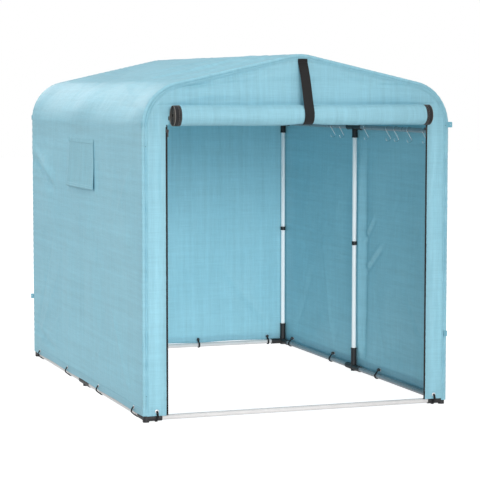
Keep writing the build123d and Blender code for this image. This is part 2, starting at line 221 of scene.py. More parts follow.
class Nodes:
    """Builds the node tree of one material."""

    def __init__(self, name):
        self.material = bpy.data.materials.new(name)
        self.material.use_nodes = True
        self.tree = self.material.node_tree
        self.tree.nodes.clear()

    def add(self, kind, inputs=(), **settings):
        node = self.tree.nodes.new(kind)
        for key, value in settings.items():
            setattr(node, key, value)
        for key, value in dict(inputs).items():
            self.put(node.inputs[key], value)
        return node

    def put(self, socket, value):
        if isinstance(value, bpy.types.NodeSocket):
            self.tree.links.new(value, socket)
        else:
            socket.default_value = value

    def place(self):
        """The point on the piece, in metres."""
        return self.add("ShaderNodeTexCoord").outputs["Object"]

    def sheet_place(self):
        """The point on the flat cut of a sheet, in metres."""
        return self.add("ShaderNodeUVMap", uv_map="UVMap").outputs[0]

    def scaled(self, place, scale):
        return self.add("ShaderNodeMapping", {"Vector": place, "Scale": scale}).outputs[0]

    def noise(self, place, scale, detail, roughness=0.5):
        made = self.add("ShaderNodeTexNoise", {"Vector": place, "Scale": scale, "Detail": detail,
                                               "Roughness": roughness})
        return made.outputs["Fac"]

    def math(self, operation, first, second=0.0, third=0.0):
        made = self.add("ShaderNodeMath", {0: first, 1: second, 2: third}, operation=operation)
        return made.outputs[0]

    def ribs(self, length, pitch):
        """Ribs that repeat at a pitch along a length."""
        return self.math("SINE", self.math("MULTIPLY", length, 2 * math.pi / pitch))

    def total(self, *terms):
        """A sum of (height, weight) terms."""
        value = 0.0
        for height, weight in terms:
            value = self.math("MULTIPLY_ADD", height, weight, value)
        return value

    def mix(self, factor, first, second, blend="MIX"):
        made = self.add("ShaderNodeMix", data_type="RGBA", blend_type=blend)
        self.put(made.inputs["Factor"], factor)
        self.put(made.inputs[6], first)
        self.put(made.inputs[7], second)
        return made.outputs[2]

    def ramp(self, value, low, high, start=0.0, end=1.0):
        made = self.add("ShaderNodeMapRange", {"Value": value, "From Min": low, "From Max": high,
                                               "To Min": start, "To Max": end})
        return made.outputs[0]

    def bump(self, height):
        """A bump from a height in metres."""
        return self.add("ShaderNodeBump", {"Height": height, "Distance": 1.0, "Strength": 1.0}).outputs[0]

    def surface(self, colour, height=None, see_through=None, share=0.0, **sockets):
        """Finish the material: a Principled surface, and the light that passes through thin cloth."""
        shader = self.add("ShaderNodeBsdfPrincipled", {"Base Color": colour})
        for key, value in sockets.items():
            self.put(shader.inputs[key[0].upper() + key[1:]], value)
        result = shader.outputs[0]
        normal = self.bump(height) if height is not None else None
        if normal is not None:
            self.put(shader.inputs["Normal"], normal)
        if see_through is not None:
            glow = self.add("ShaderNodeBsdfTranslucent", {"Color": see_through, "Normal": normal})
            result = self.add("ShaderNodeMixShader", {0: share, 1: result, 2: glow.outputs[0]}).outputs[0]
        out = self.add("ShaderNodeOutputMaterial")
        self.tree.links.new(result, out.inputs["Surface"])
        return self.material


def toned(colour, gain, lift=0.0):
    """A colour made darker or paler, with its alpha."""
    return tuple(min(1.0, c * gain + lift) for c in colour) + (1,)


def woven_cloth(name, colour, share):
    """Coated cloth woven from flat tapes: crossing tapes, slubs along both, and soft blotches."""
    n = Nodes(name)
    flat = n.sheet_place()
    parts = n.add("ShaderNodeSeparateXYZ", {0: flat})
    tape = 0.0026
    crossing = n.math("MULTIPLY", n.ribs(parts.outputs[0], tape), n.ribs(parts.outputs[1], tape))
    warp = n.noise(n.scaled(flat, (10, 330, 1)), 1.0, 3.0)
    weft = n.noise(n.scaled(flat, (330, 10, 1)), 1.0, 3.0)
    wide_warp = n.noise(n.scaled(flat, (1.2, 42, 1)), 1.0, 2.0)
    wide_weft = n.noise(n.scaled(flat, (42, 1.2, 1)), 1.0, 2.0)
    blotch = n.noise(n.place(), 2.3, 4.0, 0.6)
    crumple = n.noise(n.place(), 26.0, 5.0, 0.55)
    thread = n.total((warp, 0.28), (weft, 0.28), (wide_warp, 0.16), (wide_weft, 0.28))
    base = n.mix(n.ramp(thread, 0.38, 0.62), toned(colour, 0.860), toned(colour, 1.090, 0.016))
    shade = n.mix(n.ramp(blotch, 0.3, 0.7), (0.935, 0.950, 0.958, 1), (1.0, 1.0, 1.0, 1))
    base = n.mix(1.0, base, shade, "MULTIPLY")
    height = n.total((crossing, 0.00010), (warp, 0.00025), (weft, 0.00025), (crumple, 0.0022))
    rough = n.ramp(thread, 0.3, 0.7, 0.46, 0.60)
    return n.surface(base, height, (0.190, 0.520, 0.640, 1), share, roughness=rough,
                     **{"Specular IOR Level": 0.45, "Coat Weight": 0.06, "Coat Roughness": 0.45})


def ribbed_webbing(name, colour, pitch):
    """Narrow woven tape: fine ribs across it, finer ones along it, and fuzz."""
    n = Nodes(name)
    parts = n.add("ShaderNodeSeparateXYZ", {0: n.sheet_place()})
    rib = n.ribs(parts.outputs[1], pitch)
    cross = n.ribs(parts.outputs[0], pitch / 0.7)
    fuzz = n.noise(n.place(), 900.0, 3.0, 0.6)
    patch = n.noise(n.place(), 18.0, 3.0)
    tone = n.ramp(n.total((rib, 0.14), (fuzz, 0.5), (patch, 0.36)), 0.15, 0.75)
    height = n.total((rib, 0.00012), (cross, 0.00006), (fuzz, 0.00012))
    return n.surface(n.mix(tone, toned(colour, 0.72), toned(colour, 1.35)), height, roughness=0.8,
                     **{"Sheen Weight": 0.05, "Sheen Roughness": 0.5, "Specular IOR Level": 0.25})


def hard(name, colour, roughness, metallic=0.0, grain=400.0, depth=0.00004, tint=0.10, coat=0.0):
    """Painted, moulded or plated surface: fine texture, uneven gloss and faint handling marks."""
    n = Nodes(name)
    place = n.place()
    fine = n.noise(place, grain, 3.0)
    wide = n.noise(place, 9.0, 4.0, 0.6)
    scuff = n.noise(n.scaled(place, (40, 40, 6)), 1.0, 5.0, 0.7)
    tone = n.ramp(n.total((fine, 0.3), (wide, 0.45), (scuff, 0.25)), 0.35, 0.65)
    rough = n.ramp(scuff, 0.3, 0.7, roughness * 0.8, roughness * 1.25)
    height = n.total((fine, depth), (scuff, depth * 2))
    paint = n.mix(tone, toned(colour, 1 - tint), toned(colour, 1 + tint, tint * 0.01))
    return n.surface(paint, height, roughness=rough, metallic=metallic,
                     **{"Coat Weight": coat, "Coat Roughness": 0.2})


CLOTHS = {
    # colour, and the share of light that passes through
    "cover_cloth": ((0.300, 0.592, 0.698), 0.20),
    "door_cloth": ((0.300, 0.592, 0.698), 0.20),
    "flap_cloth": ((0.252, 0.540, 0.645), 0.12),
    # The tabs' cloth is the cover's cloth painted darker: painted shade for the tabs that hang in shade.
    "tab_cloth_painted_shade": ((0.175, 0.440, 0.550), 0.10),
}
WEBBINGS = {
    # colour, and the pitch of the ribs
    "zip_tape": ((0.016, 0.016, 0.017), 0.0016),
    "door_zip_tape": ((0.020, 0.020, 0.021), 0.0016),
    "strap_webbing": ((0.013, 0.013, 0.0135), 0.0024),
    "elastic_cord": ((0.012, 0.012, 0.013), 0.0012),
}
MOULDED = dict(grain=1500.0, depth=0.00002)
COATED = dict(grain=700.0, depth=0.000012)
SEWN = dict(grain=2500.0, tint=0.15)
HARD = {
    # colour, roughness, and the rest of the finish
    # The door's zip coil in two copies: its outer turns painted paler, as painted light, and its wound
    # turns painted darker, as painted shade.
    "outer_coil_painted_light": ((0.300, 0.280, 0.250), 0.40, dict(grain=900.0)),
    "wound_coil_painted_shade": ((0.085, 0.078, 0.070), 0.45, dict(grain=900.0)),
    "zip_coil": ((0.018, 0.018, 0.019), 0.35, dict(grain=900.0)),
    "vent_mesh": ((0.05, 0.055, 0.06), 0.6, dict(grain=900.0)),
    "joint_plastic": ((0.013, 0.013, 0.014), 0.50, MOULDED),
    "ball_plastic": ((0.025, 0.025, 0.026), 0.4, MOULDED),
    "leg_coating": ((0.95, 0.95, 0.95), 0.30, dict(COATED, tint=0.03, coat=0.25)),
    # The legs' white coating painted light grey: painted shade for the threshold and the left and rear base
    # tubes.
    "base_coating_painted_shade": ((0.60, 0.59, 0.585), 0.32, dict(COATED, tint=0.06, coat=0.20)),
    # The legs' white coating painted dark grey: painted shade for the rails and the right base tubes, which
    # lie in shade inside.
    "rail_coating_painted_shade": ((0.235, 0.260, 0.280), 0.30, dict(COATED, tint=0.05, coat=0.20)),
    "eyelet_metal": ((0.74, 0.75, 0.76), 0.45, dict(metallic=0.5, tint=0.06)),
    "hook_wire": ((0.78, 0.79, 0.80), 0.16, dict(metallic=1.0, tint=0.05, depth=0.000006)),
    "slider_metal": ((0.09, 0.085, 0.085), 0.35, dict(metallic=0.8, tint=0.15)),
    "pull_metal": ((0.06, 0.052, 0.050), 0.38, dict(metallic=0.7, tint=0.15)),
    "thread": ((0.20, 0.47, 0.58), 0.7, SEWN),
    "pale_thread": ((0.37, 0.63, 0.73), 0.7, SEWN),
    "band_thread": ((0.26, 0.25, 0.235), 0.7, SEWN),
    "dark_thread": ((0.03, 0.03, 0.032), 0.7, SEWN),
}


def make_materials():
    made = {name: woven_cloth(name, *look) for name, look in CLOTHS.items()}
    made.update({name: ribbed_webbing(name, *look) for name, look in WEBBINGS.items()})
    made.update({name: hard(name, colour, rough, **rest) for name, (colour, rough, rest) in HARD.items()})
    return made


# ---------------------------------------------------------------- shapes

def join(*values):
    """Values side by side in a new last axis, each spread to their common shape."""
    return np.stack(np.broadcast_arrays(*values), -1)


def unit(vectors):
    return vectors / np.linalg.norm(vectors, axis=-1, keepdims=True)


def run_along(path):
    """Distance along a line at each of its points."""
    return np.concatenate([[0], np.cumsum(np.linalg.norm(np.diff(path, axis=0), axis=1))])


def circle(first, second, sides):
    """Points round the unit circle that two directions span, and their angles."""
    angle = np.arange(sides) * 2 * math.pi / sides
    return np.cos(angle)[:, None] * first + np.sin(angle)[:, None] * second, angle


def square_to(axis):
    return np.cross(axis, (0, 0, 1) if abs(axis[2]) < 0.9 else (1, 0, 0))


def smooth(low, high, value):
    """0 below low, 1 above high, and a smooth rise between them."""
    t = np.clip((value - low) / (high - low), 0, 1)
    return t * t * (3 - 2 * t)


def hill(value, width):
    """1 at zero, and a soft fall on both sides."""
    return np.exp(-(value / width) ** 2)


def fade(value, reach):
    """1 up to zero, and a fall beyond it."""
    return np.exp(-np.clip(value, 0, None) / reach)


def noise(u, v, seed):
    """Smooth random values from -1 to 1, one new value per unit cell."""
    table = np.random.default_rng(seed).uniform(-1, 1, (97, 89))
    i, j = np.floor(u).astype(int), np.floor(v).astype(int)
    fu, fv = smooth(0, 1, u - i), smooth(0, 1, v - j)
    low = table[i % 97, j % 89] * (1 - fu) + table[(i + 1) % 97, j % 89] * fu
    high = table[i % 97, (j + 1) % 89] * (1 - fu) + table[(i + 1) % 97, (j + 1) % 89] * fu
    return low * (1 - fv) + high * fv


def waves(u, v, terms, shift=0.0):
    """Random waves added up: (height, size along u, size along v, seed)."""
    return sum(height * noise(u / wide + shift, v / tall, seed) for height, wide, tall, seed in terms)


def creases(u, v, width, seed):
    """Thin raised lines that wander over a sheet."""
    return hill(noise(u, v, seed), width)


def folds(u, v, lines):
    """Folds along straight lines: ((u, v) start, (u, v) end, width, height)."""
    result = np.zeros(np.broadcast(u, v).shape)
    for (u0, v0), (u1, v1), width, height in lines:
        run = math.hypot(u1 - u0, v1 - v0)
        along = ((u - u0) * (u1 - u0) + (v - v0) * (v1 - v0)) / run ** 2
        off = ((u - u0) * (v1 - v0) - (v - v0) * (u1 - u0)) / run
        result += height * hill(off, width) * np.clip(1 - np.abs(2 * along - 1) ** 3, 0, 1)
    return result


def stations(marks, step):
    """Positions that include every mark, about a step apart."""
    marks = sorted(set(round(m, 6) for m in marks))
    result = [marks[0]]
    for a, b in zip(marks, marks[1:]):
        count = max(1, round((b - a) / step))
        result += [a + (b - a) * i / count for i in range(1, count + 1)]
    return np.array(result)


def rounded(points, rounds):
    """Cut the corners of a line until it is smooth."""
    points = np.asarray(points, float)
    for _ in range(rounds):
        near = points[:-1] * 0.75 + points[1:] * 0.25
        far = points[:-1] * 0.25 + points[1:] * 0.75
        middle = np.stack([near, far], 1).reshape(-1, points.shape[1])
        points = np.vstack([points[:1], middle, points[-1:]])
    return points


class Piece:
    """Collects the shapes of one piece, then makes its object."""

    def __init__(self, name):
        self.name = name
        self.points, self.uvs, self.faces = [], [], []
        self.count = 0

    def add(self, points, faces, uvs=None):
        points = np.asarray(points, float).reshape(-1, 3)
        if uvs is None:
            uvs = points[:, [0, 2]]
        self.points.append(points)
        self.uvs.append(np.asarray(uvs, float).reshape(-1, 2))
        self.faces += [[i + self.count for i in face] for face in faces]
        self.count += len(points)
        return self

    def grid(self, points, uvs=None, keep=None, loop_u=False, loop_v=False):
        """A sheet of quads through rows of points; keep marks the quads that stay."""
        rows, columns = points.shape[:2]
        index = np.arange(rows * columns).reshape(rows, columns)
        if loop_u:
            index = np.vstack([index, index[:1]])
        if loop_v:
            index = np.hstack([index, index[:, :1]])
        quads = np.stack([index[:-1, :-1], index[:-1, 1:], index[1:, 1:], index[1:, :-1]], -1)
        quads = quads.reshape(-1, 4) if keep is None else quads[keep]
        used, quads = np.unique(quads, return_inverse=True)
        flat = None if uvs is None else np.asarray(uvs, float).reshape(-1, 2)[used]
        return self.add(points.reshape(-1, 3)[used], quads.reshape(-1, 4).tolist(), flat)

    def bar(self, points, uvs):
        """A solid bar through rows of points, each row one turn round it."""
        rows, columns = points.shape[:2]
        first, last = self.count, self.count + (rows - 1) * columns
        self.grid(points, uvs, loop_v=True)
        self.faces.append([first + i for i in range(columns)])
        self.faces.append([last + i for i in reversed(range(columns))])

    def make(self, material, body, slot=None, weld=0.0):
        points, uvs = np.vstack(self.points), np.vstack(self.uvs)
        mesh = bpy.data.meshes.new(self.name)
        mesh.from_pydata(points.tolist(), [], self.faces)
        layer = mesh.uv_layers.new(name="UVMap")
        corner = np.empty(len(mesh.loops), np.int32)
        mesh.loops.foreach_get("vertex_index", corner)
        layer.data.foreach_set("uv", uvs[corner].astype(np.float32).ravel())
        mesh.materials.append(MATERIALS[material])
        mesh.polygons.foreach_set("use_smooth", [True] * len(mesh.polygons))
        made = add_object(self.name, mesh)
        if weld:
            tidy = bmesh.new()
            tidy.from_mesh(mesh)
            bmesh.ops.remove_doubles(tidy, verts=tidy.verts, dist=weld)
            bmesh.ops.dissolve_degenerate(tidy, edges=tidy.edges, dist=weld / 2)
            tidy.to_mesh(mesh)
            tidy.free()
        if body:
            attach(made, body)
        return made


def lathe(piece, profile, centre, axis, sides=24):
    """Turn a closed profile of (radius, height) about an axis through a centre."""
    profile, axis = np.array(profile), unit(np.array(axis, float))
    side = unit(square_to(axis))
    ring, angle = circle(side, np.cross(axis, side), sides)
    radius, height = profile[:, :1], profile[:, 1:]
    points = np.array(centre) + ring[:, None] * radius + axis * height
    uvs = join(angle[:, None] * radius.max(), run_along(profile))
    piece.grid(points, uvs, loop_u=True, loop_v=True)


def sweep(piece, path, radius, sides=8):
    """A round bar along a smooth path of points."""
    path = np.asarray(path, float)
    step = np.roll(path, -1, 0) - np.roll(path, 1, 0)
    step[0], step[-1] = path[1] - path[0], path[-1] - path[-2]
    step = unit(step)
    side = square_to(step[0])
    rings = []
    for direction in step:
        side = unit(side - direction * np.dot(side, direction))
        ring, angle = circle(side, np.cross(direction, side), sides)
        rings.append(ring)
    piece.bar(path[:, None] + np.array(rings) * radius, join(angle * radius, run_along(path)[:, None]))


def stitches(piece, path, normals, pitch=0.0062, length=0.0044, width=0.0009, height=0.0005):
    """Short raised stitches along a line on a surface."""
    path = np.asarray(path, float)
    normals = np.broadcast_to(normals, path.shape)
    run = run_along(path)
    where = np.arange(pitch / 2, run[-1] - pitch / 2, pitch)

    def at(distance, values):
        return join(*(np.interp(distance, run, values[:, i]) for i in range(3)))

    start, end = at(where - length / 2, path), at(where + length / 2, path)
    up, ahead = unit(at(where, normals)), unit(end - start)
    side = np.cross(up, ahead) * width / 2
    low, high, tip = up * -0.0002, up * height, ahead * length * 0.12
    corners = np.stack([start - side + low, start + side + low, end + side + low, end - side + low,
                        start - side * 0.6 + tip + high, start + side * 0.6 + tip + high,
                        end + side * 0.6 - tip + high, end - side * 0.6 - tip + high], 1)
    box = [(0, 3, 2, 1), (4, 5, 6, 7), (0, 1, 5, 4), (1, 2, 6, 5), (2, 3, 7, 6), (3, 0, 4, 7)]
    piece.add(corners, [[i * 8 + k for k in face] for i in range(len(where)) for face in box])


# ---------------------------------------------------------------- the cover

def outline(s):
    """A point of the cover's cross-section and the way out of it. s runs from the left hem, over
    the roof, to the right hem; past either hem the cloth turns up again inside."""
    t = np.abs(np.minimum(s, OUTLINE - s))
    side = np.where(s < OUTLINE / 2, -1.0, 1.0)
    bend = np.clip((t - WALL) / EAVE_RADIUS, 0, TURN)
    slope = np.clip(t - WALL - EAVE_ARC, 0, SLOPE)
    angle = bend + np.clip((t - WALL - EAVE_ARC - SLOPE) / RIDGE_RADIUS, 0, PITCH)
    x = HALF_WIDTH - EAVE_RADIUS * (1 - np.cos(bend)) - slope * math.cos(PITCH)
    x = x + RIDGE_RADIUS * (np.cos(angle) - np.cos(bend))
    z = HEM + np.minimum(t, WALL) + EAVE_RADIUS * np.sin(bend) + slope * math.sin(PITCH)
    z = z + RIDGE_RADIUS * (np.sin(angle) - np.sin(bend))
    return side * x, z, side * np.cos(angle), np.sin(angle)


def profile(d):
    """How the cover runs from front to back: inset from its outside, depth, and its way out."""
    e = np.minimum(d, SHEET_DEPTH - d)
    end = np.where(d < SHEET_DEPTH / 2, -1.0, 1.0)
    turn = np.clip((e - RETURN_FLAT) / CORNER, 0, math.pi / 2)
    inset = RETURN - np.minimum(e, RETURN_FLAT) - CORNER * np.sin(turn)
    back = CORNER * (1 - np.cos(turn)) + np.maximum(e - TURNED, 0)
    return inset, MIDDLE + end * (DEPTH / 2 - back), end * np.cos(turn), np.sin(turn)


def depth_at(y):
    """Where a depth lies on the sheet."""
    return y - FRONT - CORNER + TURNED


def hem_rise(place, loops):
    """The hem lifts a little between the elastic loops that hold it down."""
    spacing = loops[2] - loops[1]
    return 0.0018 * (1 - np.cos(2 * math.pi * (place - loops[0]) / spacing))


# Folds: (depth from the middle, height up the sheet) from and to, width, height
LEFT_FOLDS = [
    ((1.02, 0.03), (0.45, 0.62), 0.030, 0.0070),
    ((1.07, 0.10), (0.62, 0.80), 0.022, -0.0050),
    ((0.98, 0.02), (0.30, 0.38), 0.018, 0.0040),
    ((-0.95, 0.04), (-0.55, 0.50), 0.020, 0.0035),
    ((-1.05, 1.25), (-0.60, 0.85), 0.024, 0.0040),
    ((0.90, 1.26), (0.60, 0.98), 0.026, 0.0045),
    ((-0.33, 0.02), (-0.42, 0.42), 0.014, 0.0026),
    ((0.33, 0.02), (0.26, 0.36), 0.014, 0.0026),
    ((-0.99, 0.02), (-0.86, 0.28), 0.012, -0.0024),
    ((0.035, 0.15), (0.045, 1.02), 0.012, 0.0024),
    ((-0.040, 0.10), (-0.030, 1.00), 0.010, -0.0016),
    ((1.150, 1.165), (0.600, 0.990), 0.030, -0.0250),
    ((1.150, 1.235), (0.580, 1.050), 0.032, 0.0150),
    ((0.800, 0.860), (-0.200, 0.840), 0.045, 0.0050),
    ((-0.100, 0.845), (-1.080, 0.800), 0.045, 0.0045),
    ((1.120, 0.160), (0.540, 0.075), 0.026, -0.0140),
]
RIGHT_FOLDS = [
    ((0.050, 0.12), (0.060, 1.25), 0.014, 0.0045),
    ((-0.048, -0.20), (-0.052, 1.40), 0.020, -0.0200),
    ((-0.108, -0.20), (-0.116, 1.40), 0.024, 0.0210),
    ((-0.070, 0.700), (-0.245, 0.860), 0.011, -0.0090),
    ((-0.095, 0.690), (-0.265, 0.845), 0.012, 0.0080),
    ((-0.070, 0.530), (-0.350, 0.725), 0.013, -0.0080),
    ((-0.095, 0.520), (-0.370, 0.705), 0.014, 0.0075),
    ((-1.00, 0.05), (-0.55, 0.60), 0.024, 0.0045),
    ((-0.40, 0.03), (-0.20, 0.55), 0.018, 0.0035),
    ((1.00, 0.05), (0.60, 0.55), 0.024, 0.0040),
    ((0.35, 0.03), (0.50, 0.70), 0.018, -0.0035),
    ((-1.05, 1.20), (-0.70, 0.70), 0.022, 0.0040),
]
ROOF_FOLDS = [
    ((-1.10, 1.62), (-0.45, 1.95), 0.022, 0.0030),
    ((-1.12, 1.45), (-0.30, 1.66), 0.018, 0.0030),
    ((0.05, 1.60), (0.80, 2.02), 0.024, -0.0030),
    ((1.10, 1.60), (0.55, 1.88), 0.020, 0.0035),
    ((-0.02, 1.50), (-0.60, 1.80), 0.018, -0.0025),
    ((-1.055, 1.70), (-1.065, 2.27), 0.022, 0.0100),
    ((-0.980, 1.78), (-1.015, 2.32), 0.022, -0.0130),
    ((-0.820, 1.72), (-0.940, 2.28), 0.028, 0.0140),
    ((-0.650, 1.76), (-0.800, 2.32), 0.030, -0.0150),
    ((-0.350, 1.74), (-0.590, 2.30), 0.038, 0.0150),
    ((0.120, 1.78), (-0.160, 2.28), 0.038, 0.0070),
]


def pucker(s, d):
    """Small gathers along the seams at the front and back corners."""
    from_edge = np.minimum(d, SHEET_DEPTH - d)
    ripple = np.sin(2 * math.pi * s / 0.031 + 2.6 * noise(s / 0.09, 0.3, 8))
    strength = (0.5 + 0.5 * noise(s / 0.16, 0.7, 9)) * np.where(s < OUTLINE / 2, 1.0, 0.4)
    return 0.0017 * ripple * fade(from_edge - TURNED, 0.022) * strength


def cover_drape(s, d):
    """How far the cloth stands out from its outline: slack between the tubes, folds and creases."""
    t = np.minimum(s, OUTLINE - s)
    left = s < OUTLINE / 2
    _, y, _, flank = profile(d)
    bay = np.prod([smooth(0.02, 0.30, np.abs(y - arch)) for arch in ARCHES], axis=0)
    rail = smooth(0.012, 0.24, np.abs(t - (RAIL_Z - HEM)))
    peak = smooth(0.01, 0.16, OUTLINE / 2 - t)
    low_edge = smooth(0.015, 0.14, t)
    vent = left * (1 - smooth(0.27, 0.34, np.abs(y - MIDDLE)))
    vent = vent * smooth(VENT_LOW - HEM - 0.09, VENT_LOW - HEM - 0.03, t)
    vent = vent * (1 - smooth(FLAP_TOP - HEM + 0.02, FLAP_TOP - HEM + 0.08, t))
    on_wall = 1 - smooth(WALL - 0.05, WALL + 0.10, t)
    seed = np.where(left, 0.0, 41.0)
    slack = waves(y, t, ((0.010, 0.42, 0.50, 1), (0.0045, 0.17, 0.21, 2)), seed)
    fine = waves(y, t, ((0.0009, 0.045, 0.060, 3), (0.0004, 0.020, 0.024, 4)), seed)
    sag = 0.016 * np.sin(math.pi * np.clip((t - WALL) / EAVE_ARC, 0, 1))
    sag = sag + 0.013 * np.sin(math.pi * np.clip((t - WALL - EAVE_ARC) / SLOPE, 0, 1))
    place = y - MIDDLE
    lines = np.where(left, folds(place, t, LEFT_FOLDS), folds(place, t, RIGHT_FOLDS))
    lines = (lines + folds(place, t, ROOF_FOLDS)) * smooth(0.02, 0.10, np.abs(y - ARCHES[0]))
    crossed = creases((y + 0.6 * t) / 0.30 + seed, (t - 0.5 * y) / 0.55, 0.10, 5)
    crossed = crossed - creases((y - 0.8 * t) / 0.34 + seed, (t + 0.6 * y) / 0.60, 0.09, 6)
    result = slack * bay * rail * peak * low_edge * (0.4 + 0.6 * on_wall) - sag * bay
    result = result + lines * low_edge * (0.25 + 0.75 * rail)
    result = result + (0.0016 * crossed + fine) * low_edge * (0.2 + 0.8 * bay * rail)
    return result * flank * (1 - vent) + pucker(s, d) * low_edge * (0.25 + 0.75 * flank)


def cover_point(s, d, lift=0.0):
    """A point on the cover's cloth, and the way out of it."""
    s, d = np.broadcast_arrays(np.asarray(s, float), np.asarray(d, float))
    x, z, out_x, out_z = outline(s)
    inset, y, face, flank = profile(d)
    t = np.minimum(s, OUTLINE - s)
    rise = hem_rise(y, SIDE_LOOPS) * (1 - smooth(0.0, 0.12, np.abs(t)))
    rise = rise - 0.011 * (1 - smooth(0.0, 0.0165, np.abs(t))) * (s > OUTLINE / 2)
    turned = HEM_FOLD * np.clip(-t / HEM_TURN, 0, 1)
    out = lift - CLOTH_IN - turned + cover_drape(s, d) * (t > 0)
    normal = join(out_x * flank, face, out_z * flank)
    edge = np.minimum(d, SHEET_DEPTH - d)
    bead = sum(high * hill(inset - place, wide) for place, wide, high in BEADS)
    bead = bead * (1 - 0.7 * smooth(WALL, WALL + EAVE_ARC, t)) * (1 + 0.9 * noise(s / 0.021, 0.5, 51))
    bead = bead * np.clip((RETURN_FLAT - edge) / 0.002, 0, 1) * (t > 0.02)
    brow = OVERHANG * smooth(WALL + 0.3 * EAVE_ARC, WALL + 1.15 * EAVE_ARC, t) * (d < SHEET_DEPTH / 2)
    brow = brow * smooth(0.0, RETURN_FLAT, edge) * (1 - smooth(TURNED, 0.10, edge))
    base = join(x - inset * out_x, y - brow + face * bead, z - inset * out_z + rise)
    return base + normal * out[..., None], normal


def make_cover():
    eye = EYELET_Z - HEM
    turn = [-HEM_TURN, -0.0012, 0.0, 0.0012, HEM_TURN]
    half = [-HEM_BAND, -eye - HOLE, -eye + HOLE] + turn + [eye - HOLE, eye + HOLE, HEM_BAND]
    half += [VENT_LOW - HEM, VENT_HIGH - HEM, WALL, WALL + EAVE_ARC]
    s = stations(half + [OUTLINE - m for m in half], 0.0105)
    edge = np.arange(0, RETURN_FLAT, 0.0013).tolist()
    edge += [RETURN_FLAT + CORNER_ARC * k / 4 for k in range(5)]
    edge += stations([TURNED, 0.11], 0.008).tolist()
    marks = edge + [SHEET_DEPTH - m for m in edge]
    marks += [depth_at(y) + k * HOLE for y in SIDE_LOOPS for k in (-1, 1)]
    marks += [depth_at(MIDDLE + k * VENT_HALF) for k in (-1, 1)]
    marks += stations([depth_at(MIDDLE - 0.16), depth_at(MIDDLE)], 0.0065).tolist()
    d = stations(marks, 0.0125)
    mid_s, mid_y = ((s[1:] + s[:-1]) / 2)[:, None], profile((d[1:] + d[:-1]) / 2)[1]
    by_hole = np.abs(np.abs(np.minimum(mid_s, OUTLINE - mid_s)) - eye) < HOLE
    eyelet = by_hole & (np.abs(mid_y - np.array(SIDE_LOOPS)[:, None]) < HOLE).any(0)
    height = mid_s + HEM
    vent = (height > VENT_LOW) & (height < VENT_HIGH) & (np.abs(mid_y - MIDDLE) < VENT_HALF)
    cover = Piece("cover").grid(cover_point(s[:, None], d)[0], join(s[:, None], d), ~(eyelet | vent))
    made = cover.make("cover_cloth", "shelter")
    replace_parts(made, "wall_left", "wall_right", "eave_cover_left", "eave_cover_right",
                "roof_cover_left", "roof_cover_right")
    return made


# ---------------------------------------------------------------- front and back panels

def top_of(x):
    """Height of a panel's top edge, which laps over the cover's return, over a place across the tent."""
    a = np.abs(x)
    eave, ridge = EAVE_RADIUS - PANEL_EDGE, RIDGE_RADIUS - PANEL_EDGE
    bend = EAVE + np.sqrt(np.clip(eave ** 2 - (a - BEND_X).clip(0) ** 2, 0, None))
    line = APEX - PANEL_EDGE / math.cos(PITCH) - a * math.tan(PITCH)
    soft = RIDGE_CENTRE + np.sqrt(np.clip(ridge ** 2 - a ** 2, 0, None))
    line = np.where(a < ridge * math.sin(PITCH), soft, line)
    return np.where(a > BEND_X + eave * math.sin(PITCH), bend, line)


def inset_of(x, z):
    """How far inside the cover's outline a point of the front or back lies."""
    a = np.abs(x)
    round_it = EAVE_RADIUS - np.hypot(a - BEND_X, z - EAVE)
    line = (APEX - z) * math.cos(PITCH) - a * math.sin(PITCH)
    bend = (z > EAVE) & (a > BEND_X + (z - EAVE) * math.tan(PITCH))
    return np.where(z <= EAVE, np.minimum(HALF_WIDTH - a, line), np.where(bend, round_it, line))


# Folds: (across, height) from and to, width, height
FRONT_FOLDS = [
    ((0.270, 1.716), (0.570, 1.620), 0.008, -0.0034),
    ((-0.500, 1.632), (-0.190, 1.698), 0.012, 0.0034),
    ((-0.230, 1.690), (0.010, 1.712), 0.010, 0.0024),
    ((-0.740, 1.500), (-0.400, 1.580), 0.014, 0.0012),
    ((0.740, 1.500), (0.380, 1.575), 0.014, 0.0014),
    ((-0.020, 1.725), (-0.360, 1.590), 0.010, -0.0020),
    ((0.050, 1.725), (0.440, 1.575), 0.010, -0.0020),
    ((-0.680, 1.560), (0.680, 1.556), 0.012, 0.0020),
    ((-0.745, 1.300), (-0.700, 0.950), 0.008, 0.0022),
    ((-0.750, 0.800), (-0.705, 0.500), 0.008, -0.0020),
    ((0.745, 1.320), (0.705, 1.000), 0.008, 0.0022),
    ((0.750, 0.550), (0.710, 0.300), 0.008, 0.0020),
]
# Sharp creases that start at the seam
FRONT_CREASES = [
    ((-0.660, 1.597), (-0.290, 1.628), 0.0055, -0.0042),
    ((-0.640, 1.610), (-0.300, 1.640), 0.0075, 0.0030),
    ((0.380, 1.611), (0.600, 1.610), 0.0055, -0.0042),
    ((0.390, 1.623), (0.580, 1.621), 0.0070, 0.0026),
    ((-0.680, 1.600), (-0.100, 1.742), 0.0110, 0.0085),
    ((-0.640, 1.578), (-0.120, 1.706), 0.0110, -0.0065),
]
BACK_FOLDS = [
    ((-0.72, 0.10), (-0.30, 0.70), 0.024, 0.005),
    ((0.72, 0.08), (0.34, 0.55), 0.022, 0.005),
    ((-0.70, 1.40), (-0.30, 1.05), 0.024, 0.004),
    ((0.70, 1.42), (0.28, 1.10), 0.024, 0.004),
    ((-0.55, 1.60), (0.0, 1.72), 0.018, 0.003),
    ((0.55, 1.60), (0.05, 1.72), 0.018, 0.003),
]
HEADER_CREASE = HEADER + 0.0515
ROLL_CLEARANCE = 0.0008


